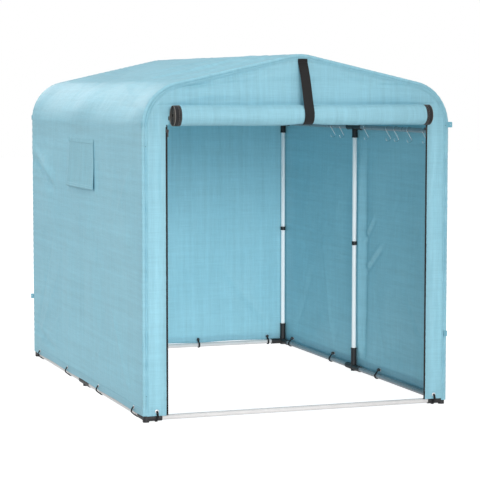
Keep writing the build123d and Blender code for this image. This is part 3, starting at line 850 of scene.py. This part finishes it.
def front_drape(x, z):
    """How far the front panel stands out of its plane."""
    edge = inset_of(x, z)
    free = smooth(0.026, 0.075, edge) * smooth(0.0, 0.05, z - HEM)
    gable = smooth(HEADER, HEADER + 0.05, z)
    level = waves(x, z, ((0.0015, 0.42, 0.034, 11), (0.0012, 0.15, 0.022, 12)))
    upright = waves(x, z, ((0.0016, 0.020, 0.16, 13), (0.0010, 0.035, 0.05, 14)))
    upright = upright + 0.0021 * noise(x / 0.030, z / 0.014, 17) * fade(edge - RETURN, 0.030)
    loose = gable * level + (1 - gable) * upright + 0.0006 * noise(x / 0.05, z / 0.03, 15)
    result = (loose + folds(x, z, FRONT_FOLDS)) * free - 0.0018 * hill(edge - GROOVE, 0.005)
    result = result - 0.0034 * hill(z - HEADER_CREASE, 0.004) * smooth(0.03, 0.06, edge)
    result = result + folds(x, z, FRONT_CREASES) * smooth(0.016, 0.034, edge)
    from_zip = np.abs(x) - CLOTH_EDGE
    ripple = 0.0009 * np.sin(2 * math.pi * z / 0.036 + 3 * noise(z / 0.11, 0.2, 16))
    result = result + ripple * fade(from_zip, 0.02) * (z < HEADER) * (z > HEM + 0.05)
    by_zip = (1 - smooth(0.0, 0.030, from_zip)) * (z < HEADER)
    result = np.where(result < 0, result * (1 - by_zip), result)
    behind_roll = (z < HEADER + ROLL_RADIUS) & (z > HEADER - 0.02) & (np.abs(x) < BAND_END + 0.02)
    return np.where(behind_roll, np.minimum(result, ROLL_CLEARANCE), result)


def front_point(x, z, behind=0.0):
    return join(x, FRONT + PANEL_IN + behind - front_drape(x, z), z)


def back_drape(x, z):
    """How far the back panel stands out of its plane."""
    edge = inset_of(x, z)
    free = smooth(0.030, 0.30, edge) * smooth(0.02, 0.16, z - HEM)
    near = smooth(0.030, 0.09, edge) * smooth(0.02, 0.10, z - HEM)
    slack = waves(x, z, ((0.011, 0.40, 0.45, 21), (0.005, 0.16, 0.2, 22)))
    fine = waves(x, z, ((0.0009, 0.045, 0.05, 25), (0.0004, 0.02, 0.024, 26)))
    crossed = creases((x + 0.7 * z) / 0.32, (z - 0.5 * x) / 0.5, 0.10, 23)
    crossed = crossed - creases((x - 0.8 * z) / 0.36, (z + 0.5 * x) / 0.5, 0.09, 24)
    close = (0.0016 * crossed + fine + folds(x, z, BACK_FOLDS)) * near
    return slack * free + close - 0.0016 * hill(edge - GROOVE, 0.005)


def across_stations(marks, step):
    """Places across a panel, closer together where the outline turns down at the eaves."""
    angle = stations([0, TURN], 0.06)
    bend = BEND_X + (EAVE_RADIUS - PANEL_EDGE) * np.cos(angle)
    flat = stations([m for m in marks if abs(m) < bend.min()] + [-bend.min(), bend.min()], step)
    outer = [m for m in marks if bend.min() <= abs(m) <= HALF_WIDTH - PANEL_EDGE]
    return np.array(sorted(set(np.round(np.concatenate([flat, bend, -bend, outer]), 6))))


def hem_rows(z):
    """Heights of a panel's rows, and how far the band that is turned up at the hem lies inside."""
    return np.where(z < HEM, 2 * HEM - z, z), HEM_FOLD * np.clip((HEM - z) / HEM_TURN, 0, 1)


def off_eyelets(x, z, places):
    """The quads that no eyelet passes through, from the corners' places."""
    mid_x = (x[:-1, :-1] + x[1:, 1:]) / 2
    height, _ = hem_rows((z[:-1, :-1] + z[1:, 1:]) / 2)
    found = [(np.abs(mid_x - place) < HOLE) & (np.abs(height - EYELET_Z) < HOLE) for place in places]
    return ~np.any(found, axis=0)


HEM_MARKS = [HEM + k for k in (-HEM_BAND, -HEM_TURN, -0.0012, 0, 0.0012, HEM_TURN, HEM_BAND)]
HEM_MARKS += [z + k * HOLE for z in (2 * HEM - EYELET_Z, EYELET_Z) for k in (-1, 1)]


def make_back():
    x = across_stations([p + k * HOLE for p in BACK_LOOPS for k in (-1, 1)], 0.0135)
    level = stations(HEM_MARKS + [EAVE], 0.0125)[:, None] + 0 * x
    under_roof = EAVE + (top_of(x) - EAVE) * np.linspace(0, 1, 29)[1:, None]
    z = np.vstack([level, under_roof])
    x = np.broadcast_to(x, z.shape)
    height, turned = hem_rows(z)
    rise = hem_rise(x, BACK_LOOPS) * (1 - smooth(0.0, 0.12, height - HEM))
    out = back_drape(x, height) * (z > HEM) - PANEL_IN - turned
    panel = Piece("back_cloth")
    panel.grid(join(x, BACK + out, height + rise), join(x, z), off_eyelets(x, z, BACK_LOOPS))
    made = panel.make("cover_cloth", "shelter", weld=0.0002)
    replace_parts(made, "back_panel")


def make_gable():
    x = across_stations([-CLOTH_EDGE, CLOTH_EDGE], 0.0075)
    x = x[top_of(x) > HEADER + 0.001]
    z = HEADER + (top_of(x) - HEADER) * np.linspace(0, 1, 43)[:, None]
    made = Piece("gable_cloth").grid(front_point(x, z), join(x, z))
    made = made.make("cover_cloth", "shelter", weld=0.0002)
    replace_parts(made, "front_gable")


def make_strips():
    """The strips of cloth between the doorway's zips and the corners."""
    rows = stations(HEM_MARKS + [EAVE, HEADER + 0.012], 0.0085)[:, None]
    height, turned = hem_rows(rows)
    outer = BEND_X + np.sqrt((EAVE_RADIUS - PANEL_EDGE) ** 2 - (rows - EAVE).clip(0) ** 2)
    inner = stations([CLOTH_EDGE, FRONT_LOOPS[1] - HOLE, FRONT_LOOPS[1] + HOLE], 0.0062)
    across = np.hstack([inner + 0 * rows, inner[-1] + (outer - inner[-1]) * np.linspace(0, 1, 6)[1:]])
    above_zip = smooth(ZIP_TOP - 0.010, ZIP_TOP + 0.004, height)
    across = across - 0.020 * above_zip * np.clip((0.720 - across) / (0.720 - CLOTH_EDGE), 0, 1)
    lap = 0.0007 * (rows > HEADER)
    for name, side in SIDES:
        x, z = side * across, rows + 0 * across
        strip = Piece(f"strip_cloth_{name}")
        strip.grid(front_point(x, height, turned + lap), join(x, z), off_eyelets(x, z, FRONT_LOOPS))
        made = strip.make("cover_cloth", "shelter")
        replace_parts(made, f"front_strip_{name}")


def make_seams():
    """Rows of stitches along the cover's seams and hems."""
    seams = Piece("cover_stitches")
    s = np.arange(0.002, OUTLINE, 0.005)
    for distance in (0.0035, RETURN - PIPING):
        for d in (distance, SHEET_DEPTH - distance):
            stitches(seams, *cover_point(s, d, SEAM_LIFT))
    d = np.arange(TURNED, SHEET_DEPTH - TURNED, 0.006)
    for s in (HEM_SEAM, OUTLINE - HEM_SEAM):
        stitches(seams, *cover_point(s, d, SEAM_LIFT))
    for _, side in SIDES:
        x = side * np.arange(CLOTH_EDGE + 0.004, HALF_WIDTH - RETURN, 0.005)
        stitches(seams, front_point(x, HEM + HEM_SEAM, -SEAM_LIFT), FORWARD)
        z = np.arange(HEM + 0.004, ZIP_TOP - 0.012, 0.005)
        for distance in (0.004, 0.0095):
            x = side * (CLOTH_EDGE + distance)
            stitches(seams, front_point(x, z, -SEAM_LIFT), FORWARD)
    x = np.arange(-HALF_WIDTH + RETURN, HALF_WIDTH - RETURN, 0.006)
    y = BACK - PANEL_IN + SEAM_LIFT + back_drape(x, HEM + HEM_SEAM)
    stitches(seams, join(x, y, HEM + HEM_SEAM), (0.0, 1.0, 0.0))
    return seams.make("thread", "shelter", "cover_cloth")


# ---------------------------------------------------------------- door, zips and strap

ROLL_PITCH = 0.0058
ROLL_CORE = 0.009
ROLL_TURNS = (ROLL_RADIUS - ROLL_CORE) / ROLL_PITCH
OPEN_TURNS = 1.15
STRAP_HALF = 0.025
STRAP_PINCH = 0.075
STRAP_LIFT = 0.0035
PINCH_BACK = 0.6 * ROLL_RADIUS


def roll_point(x, turn, inward=0.0):
    """A point of the rolled door. turn counts from where the cloth leaves the curtain, at the back,
    under the roll and up its front. The strap squeezes the roll."""
    pinch = STRAP_PINCH * hill(x - STRAP_X, 0.085)
    angle = 2 * math.pi * turn
    outer = 1 - smooth(0.0, 2.5, turn)
    wave = waves(x, turn, ((0.0010, 0.30, 0.2, 31), (0.0009, 0.09, 1 / 9, 32)))
    wave = wave + 0.0011 * creases(x / 0.55, turn * 3.3, 0.16, 33)
    wave = wave - 0.0011 * creases(x / 0.40, turn * 4.1, 0.14, 34)
    wave = wave * (0.3 + 0.7 * outer) * (1 - 0.8 * np.clip(np.cos(angle), 0, 1))
    radius = (ROLL_RADIUS - ROLL_PITCH * turn) * (1 - pinch) + wave - inward - CLOTH_IN
    lift = STRAP_LIFT * hill(x - STRAP_X, 0.11) + 0.0012 * noise(x / 0.33, 0.4, 35)
    y = ROLL_Y + PINCH_BACK * pinch + radius * np.cos(angle)
    return join(x, y, HEADER + lift - radius * np.sin(angle))


def roll_lengths(turn):
    """Cloth wound up to each turn."""
    return 2 * math.pi * (ROLL_RADIUS * turn - ROLL_PITCH * turn ** 2 / 2)


def flatten(piece):
    """Give the piece its own copy of its mesh."""
    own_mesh(piece)


def make_roll():
    turn = np.concatenate([np.arange(0, 2.0, 1 / 44), np.arange(2.0, ROLL_TURNS, 1 / 30)])[:, None]
    x = stations([-ROLL_HALF, -0.12, 0.12, ROLL_HALF], 0.0125)
    made = Piece("door_roll_cloth").grid(roll_point(x, turn), join(x, roll_lengths(turn)))
    made = made.make("door_cloth", "door_roll")
    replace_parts(made, "door_roll")
    flatten(made)
    make_bands(turn)


def make_bands(turn):
    """The zip's halves at the ends of the roll: tape, coil and stitches."""
    band = Piece("door_zip_band_tapes")
    coil, wound_coil_painted_shade = Piece("door_zip_band_coils"), Piece("door_zip_band_wound_coils")
    seam = Piece("door_zip_band_stitches")
    outside, inside = turn[turn < OPEN_TURNS], turn[turn >= OPEN_TURNS]
    for _, side in SIDES:
        x = side * np.linspace(ROLL_HALF - 0.004, BAND_END - 0.0015, 5)
        band.grid(roll_point(x, turn, -0.0007), join(x, roll_lengths(turn)))
        # The outer turns take the paler coil, as painted light; the turns wound inside the roll take the
        # darker coil, as painted shade.
        for piece, part in ((coil, outside), (wound_coil_painted_shade, inside)):
            sweep(piece, roll_point(side * (BAND_END - 0.0018), part), 0.0010, sides=6)
        for edge in (0.0015, 0.009):
            path = roll_point(side * (ROLL_HALF + edge), outside, -0.0011)
            stitches(seam, path, (path - (0, ROLL_Y, HEADER)) * (0, 1, 1))
    tapes = band.make("door_zip_tape", "door_roll")
    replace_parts(tapes, "door_zip_bands")
    flatten(tapes)
    for piece, material in ((coil, "outer_coil_painted_light"), (wound_coil_painted_shade, "wound_coil_painted_shade"), (seam, "band_thread")):
        flatten(piece.make(material, "door_roll", "door_zip_tape"))


def make_curtain():
    """The cloth between the header and the roll, and the zip's halves along it. Its rows end up
    evenly spaced once the door is down."""
    share = np.linspace(0, 1, 97)[:, None]
    even = np.linspace(0, 1, 4001)
    z = HEADER - np.interp(share, smooth(0, 1, even), even) * (HEADER - CURTAIN_LOW)
    long = share * (HEADER - CURTAIN_LOW + DROP)
    by_slider = z - share * DROP > SLIDER_LOW - 0.014
    cloth_x = stations([-ROLL_HALF, ROLL_HALF], 0.018)
    y = FRONT + 0.0010 + 0.0004 * noise(cloth_x / 0.12, long / 0.2, 36)
    cloth = Piece("door_curtain_cloth").grid(join(cloth_x, y, z), join(cloth_x, long))
    made = [cloth.make("door_cloth", None)]
    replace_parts(made[0], "door_curtain")
    start, end = ROLL_HALF - 0.003, ZIP_X - 0.0050
    tape = np.linspace(0, end - start, 5) * np.where(by_slider, 0.35, 1.0)
    for name, side in SIDES:
        x = side * (start + tape)
        half = Piece(f"door_curtain_zip_{name}").grid(join(x, FRONT + 0.0003, z), join(x, long))
        made.append(half.make("door_zip_tape", None))
    for part in made:
        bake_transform(part)


def make_zips():
    """The half of each zip that stays on the front strip: tape and coil."""
    z = stations([HEM + 0.001, ZIP_TOP], 0.012)[:, None]
    across = np.array([0.0, 0.004, 0.008, 0.012, 0.016, 0.022, 0.029])
    behind = np.array([0.0, 0.0002, 0.0010, 0.0016, 0.0020, 0.0022, 0.0022])
    pitch = 0.0026
    heights = np.arange(HEM + 0.002, ZIP_TOP - 0.002, pitch)[:, None, None]
    shift, size = np.array([(-0.95, 0.55), (-0.35, 1.0), (0.35, 1.0), (0.95, 0.55)]).T[:, :, None]
    ring, _ = circle(np.array([0.0014, 0.0]), np.array([0.0, 0.0017]), 8)
    quads = [(k + i, k + (i + 1) % 8, k + 8 + (i + 1) % 8, k + 8 + i) for k in (0, 8, 16) for i in range(8)]
    tooth = quads + [range(7, -1, -1), range(24, 32)]
    for name, side in SIDES:
        x = side * (ZIP_X + across)
        follow = smooth(0.004, 0.012, across)
        y = FRONT + CLOTH_IN + 0.0004 + behind - front_drape(x, z) * follow
        made = Piece(f"zip_tape_{name}").grid(join(x, y, z), join(x, z)).make("zip_tape", "shelter")
        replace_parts(made, f"zip_{name}")
        coil = Piece(f"zip_coil_{name}")
        teeth_z = heights + shift * pitch * 0.43 + side * ring[:, 0] * 0.35
        for points in join(side * ZIP_X + ring[:, 0] * size, FRONT + 0.0010 + ring[:, 1] * size, teeth_z):
            coil.add(points, tooth)
        coil.make("zip_coil", "shelter", "zip_tape")


def strap_path():
    """The strap's line in depth and height: sewn to the gable, over the roll's front and under it."""
    centre = np.array([ROLL_Y + PINCH_BACK * STRAP_PINCH, HEADER + STRAP_LIFT])
    radius = ROLL_RADIUS * (1 - STRAP_PINCH) + 0.0019
    sewn = np.array([FRONT - 0.0013, STRAP_TOP - 0.022])
    reach = sewn - centre
    start = math.atan2(reach[1], reach[0]) + math.acos(radius / math.hypot(*reach))
    angles = np.arange(start, math.radians(262), math.radians(4))
    wrap = centre + radius * join(np.cos(angles), np.sin(angles))
    slack = np.linspace(0, 1, 14)[1:-1, None]
    straight = sewn + (wrap[0] - sewn) * slack
    straight[:, 0] -= 0.004 * np.sin(math.pi * slack[:, 0])
    upper = np.array([[FRONT - 0.0016, STRAP_TOP - 0.0005], [FRONT - 0.0013, STRAP_TOP - 0.011]])
    return np.vstack([upper, sewn[None], straight, wrap])


def make_strap():
    path = rounded(strap_path(), 1)
    step = unit(np.gradient(path, axis=0))
    out = join(step[:, 1], -step[:, 0])
    out = np.where((out[:, :1] > 0) & (np.arange(len(path))[:, None] < 4), -out, out)
    length = run_along(path)[:, None]
    along = length / length[-1] * math.pi
    # The selvedges stand up a little at both edges
    section = np.array([(-1.0, 0.0), (-0.985, 0.75), (-0.93, 1.0), (-0.80, 0.78), (-0.4, 0.80), (0, 0.82),
                        (0.4, 0.80), (0.80, 0.78), (0.93, 1.0), (0.985, 0.75), (1.0, 0.0), (0.93, -1.0),
                        (0.4, -0.9), (-0.4, -0.9), (-0.93, -1.0)])
    across, thick = section.T
    offset = 0.0010 * thick + 0.00048 * np.sin(3.1 * along) * across ** 2
    x = STRAP_X + across * STRAP_HALF + 0.0015 * np.sin(2.2 * along)
    web = Piece("door_strap_web")
    web.bar(join(x, path[:, :1] + out[:, :1] * offset, path[:, 1:] + out[:, 1:] * offset),
            join(across * STRAP_HALF, length))
    made = web.make("strap_webbing", "shelter")
    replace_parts(made, "door_strap")
    flatten(made)
    seam = Piece("door_strap_stitches")
    edge, high, low = STRAP_HALF - 0.004, STRAP_TOP - 0.003, STRAP_TOP - 0.019
    corners = [(-edge, high), (edge, high), (edge, low), (-edge, low), (-edge, high), (edge, low)]
    share = np.linspace(0, 1, 12)
    for (x0, z0), (x1, z1) in zip(corners, corners[1:]):
        line = join(STRAP_X + x0 + (x1 - x0) * share, FRONT - 0.0026, z0 + (z1 - z0) * share)
        stitches(seam, line, FORWARD, pitch=0.004, length=0.003)
    seam.make("dark_thread", "shelter", "strap_webbing")


# ---------------------------------------------------------------- vent

VENT_MIDDLE = (VENT_HIGH + VENT_LOW) / 2
VENT_TALL = (VENT_HIGH - VENT_LOW) / 2
FLAP_SLANT = 0.022


def flap_point(share, q, lift=0.0):
    """A point of the vent flap: its share of the way from front to rear, and q down from its sewn
    top edge. The rear of its lower edge stands off the wall."""
    down = q / FLAP_HEIGHT
    front = MIDDLE - FLAP_WIDTH / 2 - 0.006 * down
    rear = MIDDLE + FLAP_WIDTH / 2 - FLAP_SLANT * (1 - down)
    y = front + (rear - front) * share
    wave = 0.0016 * noise(y / 0.11, q / 0.12, 41) * smooth(0.01, 0.10, q)
    stand = (0.0040 + 0.0100 * smooth(0.02, 0.40, share)) * down ** 1.8
    out = 0.0024 + wave + stand + 0.0016 * down ** 2 * np.sin(14.0 * share + 0.8) + lift
    return join(-HALF_WIDTH - out, y, FLAP_TOP - q)


def make_flap():
    """The flap: two layers joined round their edge, with a sewn band along it."""
    share = np.linspace(0, 1, 65)
    y, q = share * FLAP_WIDTH, stations([0.0005, FLAP_HEIGHT], 0.0085)[:, None]
    edge = np.minimum(np.minimum(y, FLAP_WIDTH - y), q[-1] - q)
    thick = 0.0006 * np.where(edge < 0.024, 1.35, 1.0) * np.sqrt(np.clip(edge / 0.0012, 0, 1) * 0.75 + 0.25)
    flap, uvs = Piece("vent_flap_cloth"), join(y, q)
    flap.grid(flap_point(share, q, thick), uvs)
    flap.grid(flap_point(share, q, -thick)[::-1], uvs[::-1])
    top = np.arange(q.size * y.size).reshape(q.size, y.size)
    low = (top + top.size)[::-1]
    rims = ((top[:, 0], low[:, 0]), (low[:, -1], top[:, -1]), (low[0], top[0]), (top[-1], low[-1]))
    for first, second in rims:
        flap.faces += join(first[:-1], first[1:], second[1:], second[:-1]).tolist()
    made = flap.make("flap_cloth", "vent_flap")
    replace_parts(made, "vent_flap")
    seam = Piece("vent_flap_stitches")
    for edge in (0.009, 0.020):
        near = edge / FLAP_WIDTH
        down = np.arange(0.004, FLAP_HEIGHT - edge, 0.006)
        across = np.arange(near, 1 - near, 0.011)
        for place, depth in ((near, down), (1 - near, down), (across, FLAP_HEIGHT - edge)):
            stitches(seam, flap_point(place, depth, 0.0009), (-1.0, 0.0, 0.05), width=0.0016)
    seam.make("pale_thread", "vent_flap", "flap_cloth")


def make_flap_seam():
    """The band of cloth that sews the flap's top edge to the wall."""
    y = stations([MIDDLE - FLAP_WIDTH / 2, MIDDLE + FLAP_WIDTH / 2 - FLAP_SLANT], 0.012)[:, None]
    section = np.array([(0.0034, -0.0050), (0.0035, -0.0030), (0.0024, 0.0060), (0.0012, 0.0140),
                        (0.0004, 0.0192), (0.0003, 0.0198), (-0.0002, 0.0199), (-0.0003, 0.0194),
                        (-0.0002, 0.0060), (0.0010, 0.0012), (0.0030, -0.0040)])
    out, up = section.T
    wobble = 0.0004 * noise(y / 0.06, 0.0, 43)
    band = Piece("vent_flap_seam")
    uvs = join(y, 0.003 * np.arange(1, len(section) + 1))
    band.bar(join(-HALF_WIDTH - out, y, FLAP_TOP + up + wobble), uvs)
    band.make("flap_cloth", "shelter", "cover_cloth")


def make_net():
    """The mesh screen: two sets of strands that weave over and under."""
    past, pitch, thick = 0.016, 0.0060, 0.00042
    y = np.arange(MIDDLE - VENT_HALF - past, MIDDLE + VENT_HALF + past, pitch)
    z = np.arange(VENT_MIDDLE - VENT_TALL - past, VENT_MIDDLE + VENT_TALL + past, pitch)
    x = -HALF_WIDTH + 0.0032 + thick * (-1.0) ** (np.arange(y.size)[:, None] + np.arange(z.size) + 1)
    strands = join(x, y[:, None], z)
    mirrored = join(2 * (-HALF_WIDTH + 0.0032) - x, y[:, None], z)
    net = Piece("vent_net")
    for upright in strands:
        sweep(net, upright, thick, sides=4)
    for level in mirrored.swapaxes(0, 1):
        sweep(net, level, thick, sides=4)
    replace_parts(net.make("vent_mesh", "shelter"), "vent_screen")


def make_binding():
    """The binding round the vent's opening: rings at places past the opening's edge and inside the wall."""
    section = ((-0.0005, 0.0018), (-0.0012, 0.0046), (0.010, 0.0050), (0.018, 0.0044), (0.019, 0.0020))
    loops = []
    for past, inside in section:
        y = np.linspace(-1, 1, 41) * (VENT_HALF + past)
        z = np.linspace(-1, 1, 17) * (VENT_TALL + past)
        ring = [(a, z[0]) for a in y[:-1]] + [(y[-1], b) for b in z[:-1]]
        ring += [(a, z[-1]) for a in y[:0:-1]] + [(y[0], b) for b in z[:0:-1]]
        loops.append([(inside - HALF_WIDTH, MIDDLE + a, VENT_MIDDLE + b) for a, b in ring])
    points = np.array(loops)
    binding = Piece("vent_binding").grid(points, points[:, :, 1:], loop_u=True, loop_v=True)
    binding.make("cover_cloth", "shelter")


# ---------------------------------------------------------------- eyelets, loops, tabs and joints

JOINT_RADIUS = 0.016
UP = np.array([0.0, 0.0, 1.0])
# Closed profiles of turned parts: radius and height in millimetres
EYELET = [(4.0, -2.9), (4.0, 0.9), (4.4, 1.25), (5.4, 1.40), (8.2, 1.05), (9.3, 0.45), (9.5, 0.02),
          (4.4, 0.02), (4.4, -2.02), (9.5, -2.02), (9.3, -2.45), (8.2, -3.05), (5.4, -3.25), (4.4, -3.2)]
KNOB = [(1.3, -7.4), (3.2, -7.5), (5.6, -6.0), (7.3, -3.4), (7.9, -0.5), (8.05, -0.25), (8.05, 0.25),
        (7.9, 0.5), (7.3, 3.4), (5.6, 6.0), (3.2, 7.5), (2.4, 7.2), (1.9, 5.0), (1.3, 4.0)]
SOCKET_RIM = [(12.75, -0.4), (13.4, 0.35), (15.4, 0.5), (16.9, 0.1), (17.2, -1.2), (17.2, -5.2),
              (16.7, -6.2), (15.9, -6.6), (15.7, -3.0), (12.75, -3.0)]


def loop_places():
    """Tube centre, way out, and radius of what each loop goes round."""
    places = [((side * LEG_X, y), (side, 0.0), TUBE) for _, side in SIDES for y in SIDE_LOOPS]
    places += [((x, ARCHES[0]), (0.0, -1.0), JOINT_RADIUS) for x in FRONT_LOOPS]
    places += [((x, ARCHES[2]), (0.0, 1.0), TUBE if abs(x) < 0.7 else JOINT_RADIUS) for x in BACK_LOOPS]
    return places


def cord_line(radius, strand, ball_out):
    """One strand of an elastic loop, as distance out and height over the tube's centre: from the
    ball, out through the eyelet, down, round the tube and back up."""
    eye = EYELET_Z - BASE_Z
    out_at = TUBE_IN + 0.0045
    wrap = radius + strand + 0.0002
    low = np.array([TUBE_IN + 0.0125, HEM - BASE_Z - 0.004])
    start = math.atan2(low[1], low[0]) - math.acos(wrap / math.hypot(*low))
    end = math.atan2(eye, ball_out) + math.acos(min(1.0, wrap / math.hypot(ball_out, eye))) - 2 * math.pi
    turn = np.arange(start, end, -math.radians(9))
    around = wrap * join(np.cos(turn), np.sin(turn))
    line = np.vstack([[ball_out + 0.004, eye], [TUBE_IN - 0.002, eye], [out_at - 0.0012, eye],
                      [out_at, eye - 0.0012], low + (0, 0.010), low, around[2:], [ball_out, eye]])
    return rounded(line, 2)


def make_loops():
    eyelets, cords, balls = Piece("eyelet_rings"), Piece("elastic_cords"), Piece("loop_knobs")
    strand = 0.0027
    ball_out = TUBE_IN - 0.002 - 0.0012 - 0.0093
    for (x, y), (out_x, out_y), radius in loop_places():
        foot = np.array([x, y, 0.0])
        out, side = np.array([out_x, out_y, 0.0]), np.array([-out_y, out_x, 0.0])
        eye = foot + UP * EYELET_Z
        lathe(eyelets, np.array(EYELET) / 1000, eye + out * TUBE_IN, out)
        lathe(balls, np.array(KNOB) * (0.00118, 0.00115), eye + out * ball_out, -out, sides=20)
        line = cord_line(radius, strand, ball_out)
        path = foot + out * line[:, :1] + UP * np.maximum(BASE_Z + line[:, 1:], strand)
        for twin in (-1, 1):
            sweep(cords, path + side * twin * 0.00275, strand)
    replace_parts(eyelets.make("eyelet_metal", "shelter"), "eyelets")
    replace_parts(cords.make("elastic_cord", "shelter"), "elastic_loops")
    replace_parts(balls.make("ball_plastic", "shelter"), "loop_balls")


TAB_TALL, TAB_THICK = 0.028, 0.0010
# The tab's edge in section: share of the way from the hole to the rim, and share of its thickness
TAB_SECTION = ((0.0, 0.0), (0.05, 0.8), (0.18, 1.05), (0.45, 0.85), (0.72, 0.9), (0.86, 1.05), (0.97, 0.8),
               (1.0, 0.0), (0.97, -0.8), (0.72, -0.9), (0.45, -0.85), (0.18, -1.05), (0.05, -0.8))
# Corner (side, way out, height) of each guy tab, and its turn in degrees about its seam
TAB_TURNS = {(1, -1, 1.413): 0, (1, -1, 0.360): 160, (-1, 1, 1.420): 104, (-1, 1, 0.360): 52,
             (1, 1, 1.420): 20, (1, 1, 0.360): 35, (-1, -1, 1.420): 0, (-1, -1, 0.360): 0}


def tab_shape(piece, centre, along, out, reach, hole):
    """A flat cloth tab with rounded corners and a round hole, its edge softly rolled."""
    angle = (np.arange(48) + 0.5) * 2 * math.pi / 48
    power = 7.0
    round_it = join(np.cos(angle), np.sin(angle))
    size = (np.abs(round_it) ** power).sum(1, keepdims=True) ** (-1 / power)
    rim, bore = round_it * size * (reach / 2, TAB_TALL / 2), round_it * hole
    loops = []
    for share, thick in TAB_SECTION:
        flat = bore + (rim - bore) * share
        loops.append(centre + flat[:, :1] * along + flat[:, 1:] * UP + out * TAB_THICK * thick)
    piece.grid(np.array(loops), None, loop_u=True, loop_v=True)


def make_tabs():
    """Guy tabs sewn to the corners. Each hangs its own way."""
    tabs, flat_tabs = Piece("guy_tab_loops"), Piece("guy_tab_loops_front_left")
    seam = Piece("guy_tab_stitches")
    reach, hole, sewn = 0.020, 0.0013, 0.016
    for (side, outward, z), degrees in TAB_TURNS.items():
        y, turn = FRONT if outward < 0 else BACK, math.radians(degrees)
        if side < 0 and outward < 0:
            piece, start = flat_tabs, np.array([-HALF_WIDTH - 0.001, y + 0.002, z])
            along, out = np.array([0.0, 1.0, 0.0]), np.array([-1.0, 0.0, 0.0])
        else:
            piece, start = tabs, np.array([side * (HALF_WIDTH - 0.001), y - outward * 0.001, z])
            along = np.array([side * math.cos(turn), outward * math.sin(turn), 0.0])
            out = np.array([-side * math.sin(turn), outward * math.cos(turn), 0.0])
            flat, face = np.array([side * 1.0, 0.0, 0.0]), np.array([0.0, outward * 1.0, 0.0])
            tab_shape(tabs, start - flat * (sewn / 2 - 0.002) + face * 0.0012, flat, face, sewn, 0.0004)
        tab_shape(piece, start + along * reach / 2, along, out, reach, hole)
        line = start + along * 0.0028 + UP * np.linspace(-0.010, 0.010, 8)[:, None] + out * TAB_THICK
        stitches(seam, line, out, pitch=0.0042, length=0.0030)
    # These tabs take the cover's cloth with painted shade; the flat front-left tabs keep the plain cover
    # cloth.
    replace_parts(tabs.make("tab_cloth_painted_shade", "shelter", "cover_cloth"), "guy_tabs")
    flat_tabs.make("cover_cloth", "shelter")
    seam.make("thread", "shelter", "cover_cloth")


def make_rims():
    """Moulded beads round the mouths of the joints' sockets."""
    rims, pitch = Piece("joint_socket_rims"), math.radians(12)
    for _, side in SIDES:
        for number, y in enumerate(ARCHES):
            base, eave = np.array([side * LEG_X, y, BASE_Z]), np.array([side * LEG_X, y, RAIL_Z])
            slope = np.array([side * math.cos(pitch), 0, -math.sin(pitch)])
            mouths = [(base + UP * 0.110, UP), (eave - UP * 0.060, -UP), (eave + UP * (EAVE - RAIL_Z), UP)]
            mouths += [(eave + (0, way * 0.095, 0), (0, way, 0)) for way in ((1,), (1, -1), (-1,))[number]]
            if number != 1:
                mouths.append((np.array([0, y, RIDGE_TUBE_Z]) + slope * 0.075, slope))
            for centre, way in mouths:
                lathe(rims, np.array(SOCKET_RIM) / 1000, centre, way)
    rims.make("joint_plastic", "shelter")


# The finish of each CAD node that is shown, by how its name starts. The first that fits is used.
FINISHES = {
    "joint_plastic": ("leg_collars", "ridge_joints", "base_corners", "base_tees", "eave_corners",
                      "eave_tees"),
    "leg_coating": ("leg_", "roof_tube"),
    # The rails and the right base tubes take the white coating painted dark grey, as painted shade.
    "rail_coating_painted_shade": ("base_tubes_right", "eave_rail", "ridge_rail"),
    # The threshold and the other base tubes take the white coating painted light grey, as painted shade.
    "base_coating_painted_shade": ("threshold_tube", "base_tube"),
    "hook_wire": ("s_hook",),
    "slider_metal": ("zip_slider",),
    "pull_metal": ("zip_pull",),
}


def dress():
    for name, node in frame["nodes"].items():
        material = next((finish for finish, starts in FINISHES.items() if name.startswith(starts)), None)
        if material:
            for place in node.material_slots:
                place.material = MATERIALS[material]


make_camera()
MATERIALS = make_materials()
make_stage()
cover = make_cover()
make_back()
make_gable()
make_strips()
seams = make_seams()
make_roll()
make_curtain()
make_zips()
make_strap()
make_flap()
make_flap_seam()
make_net()
make_binding()
make_loops()
make_tabs()
make_rims()
dress()
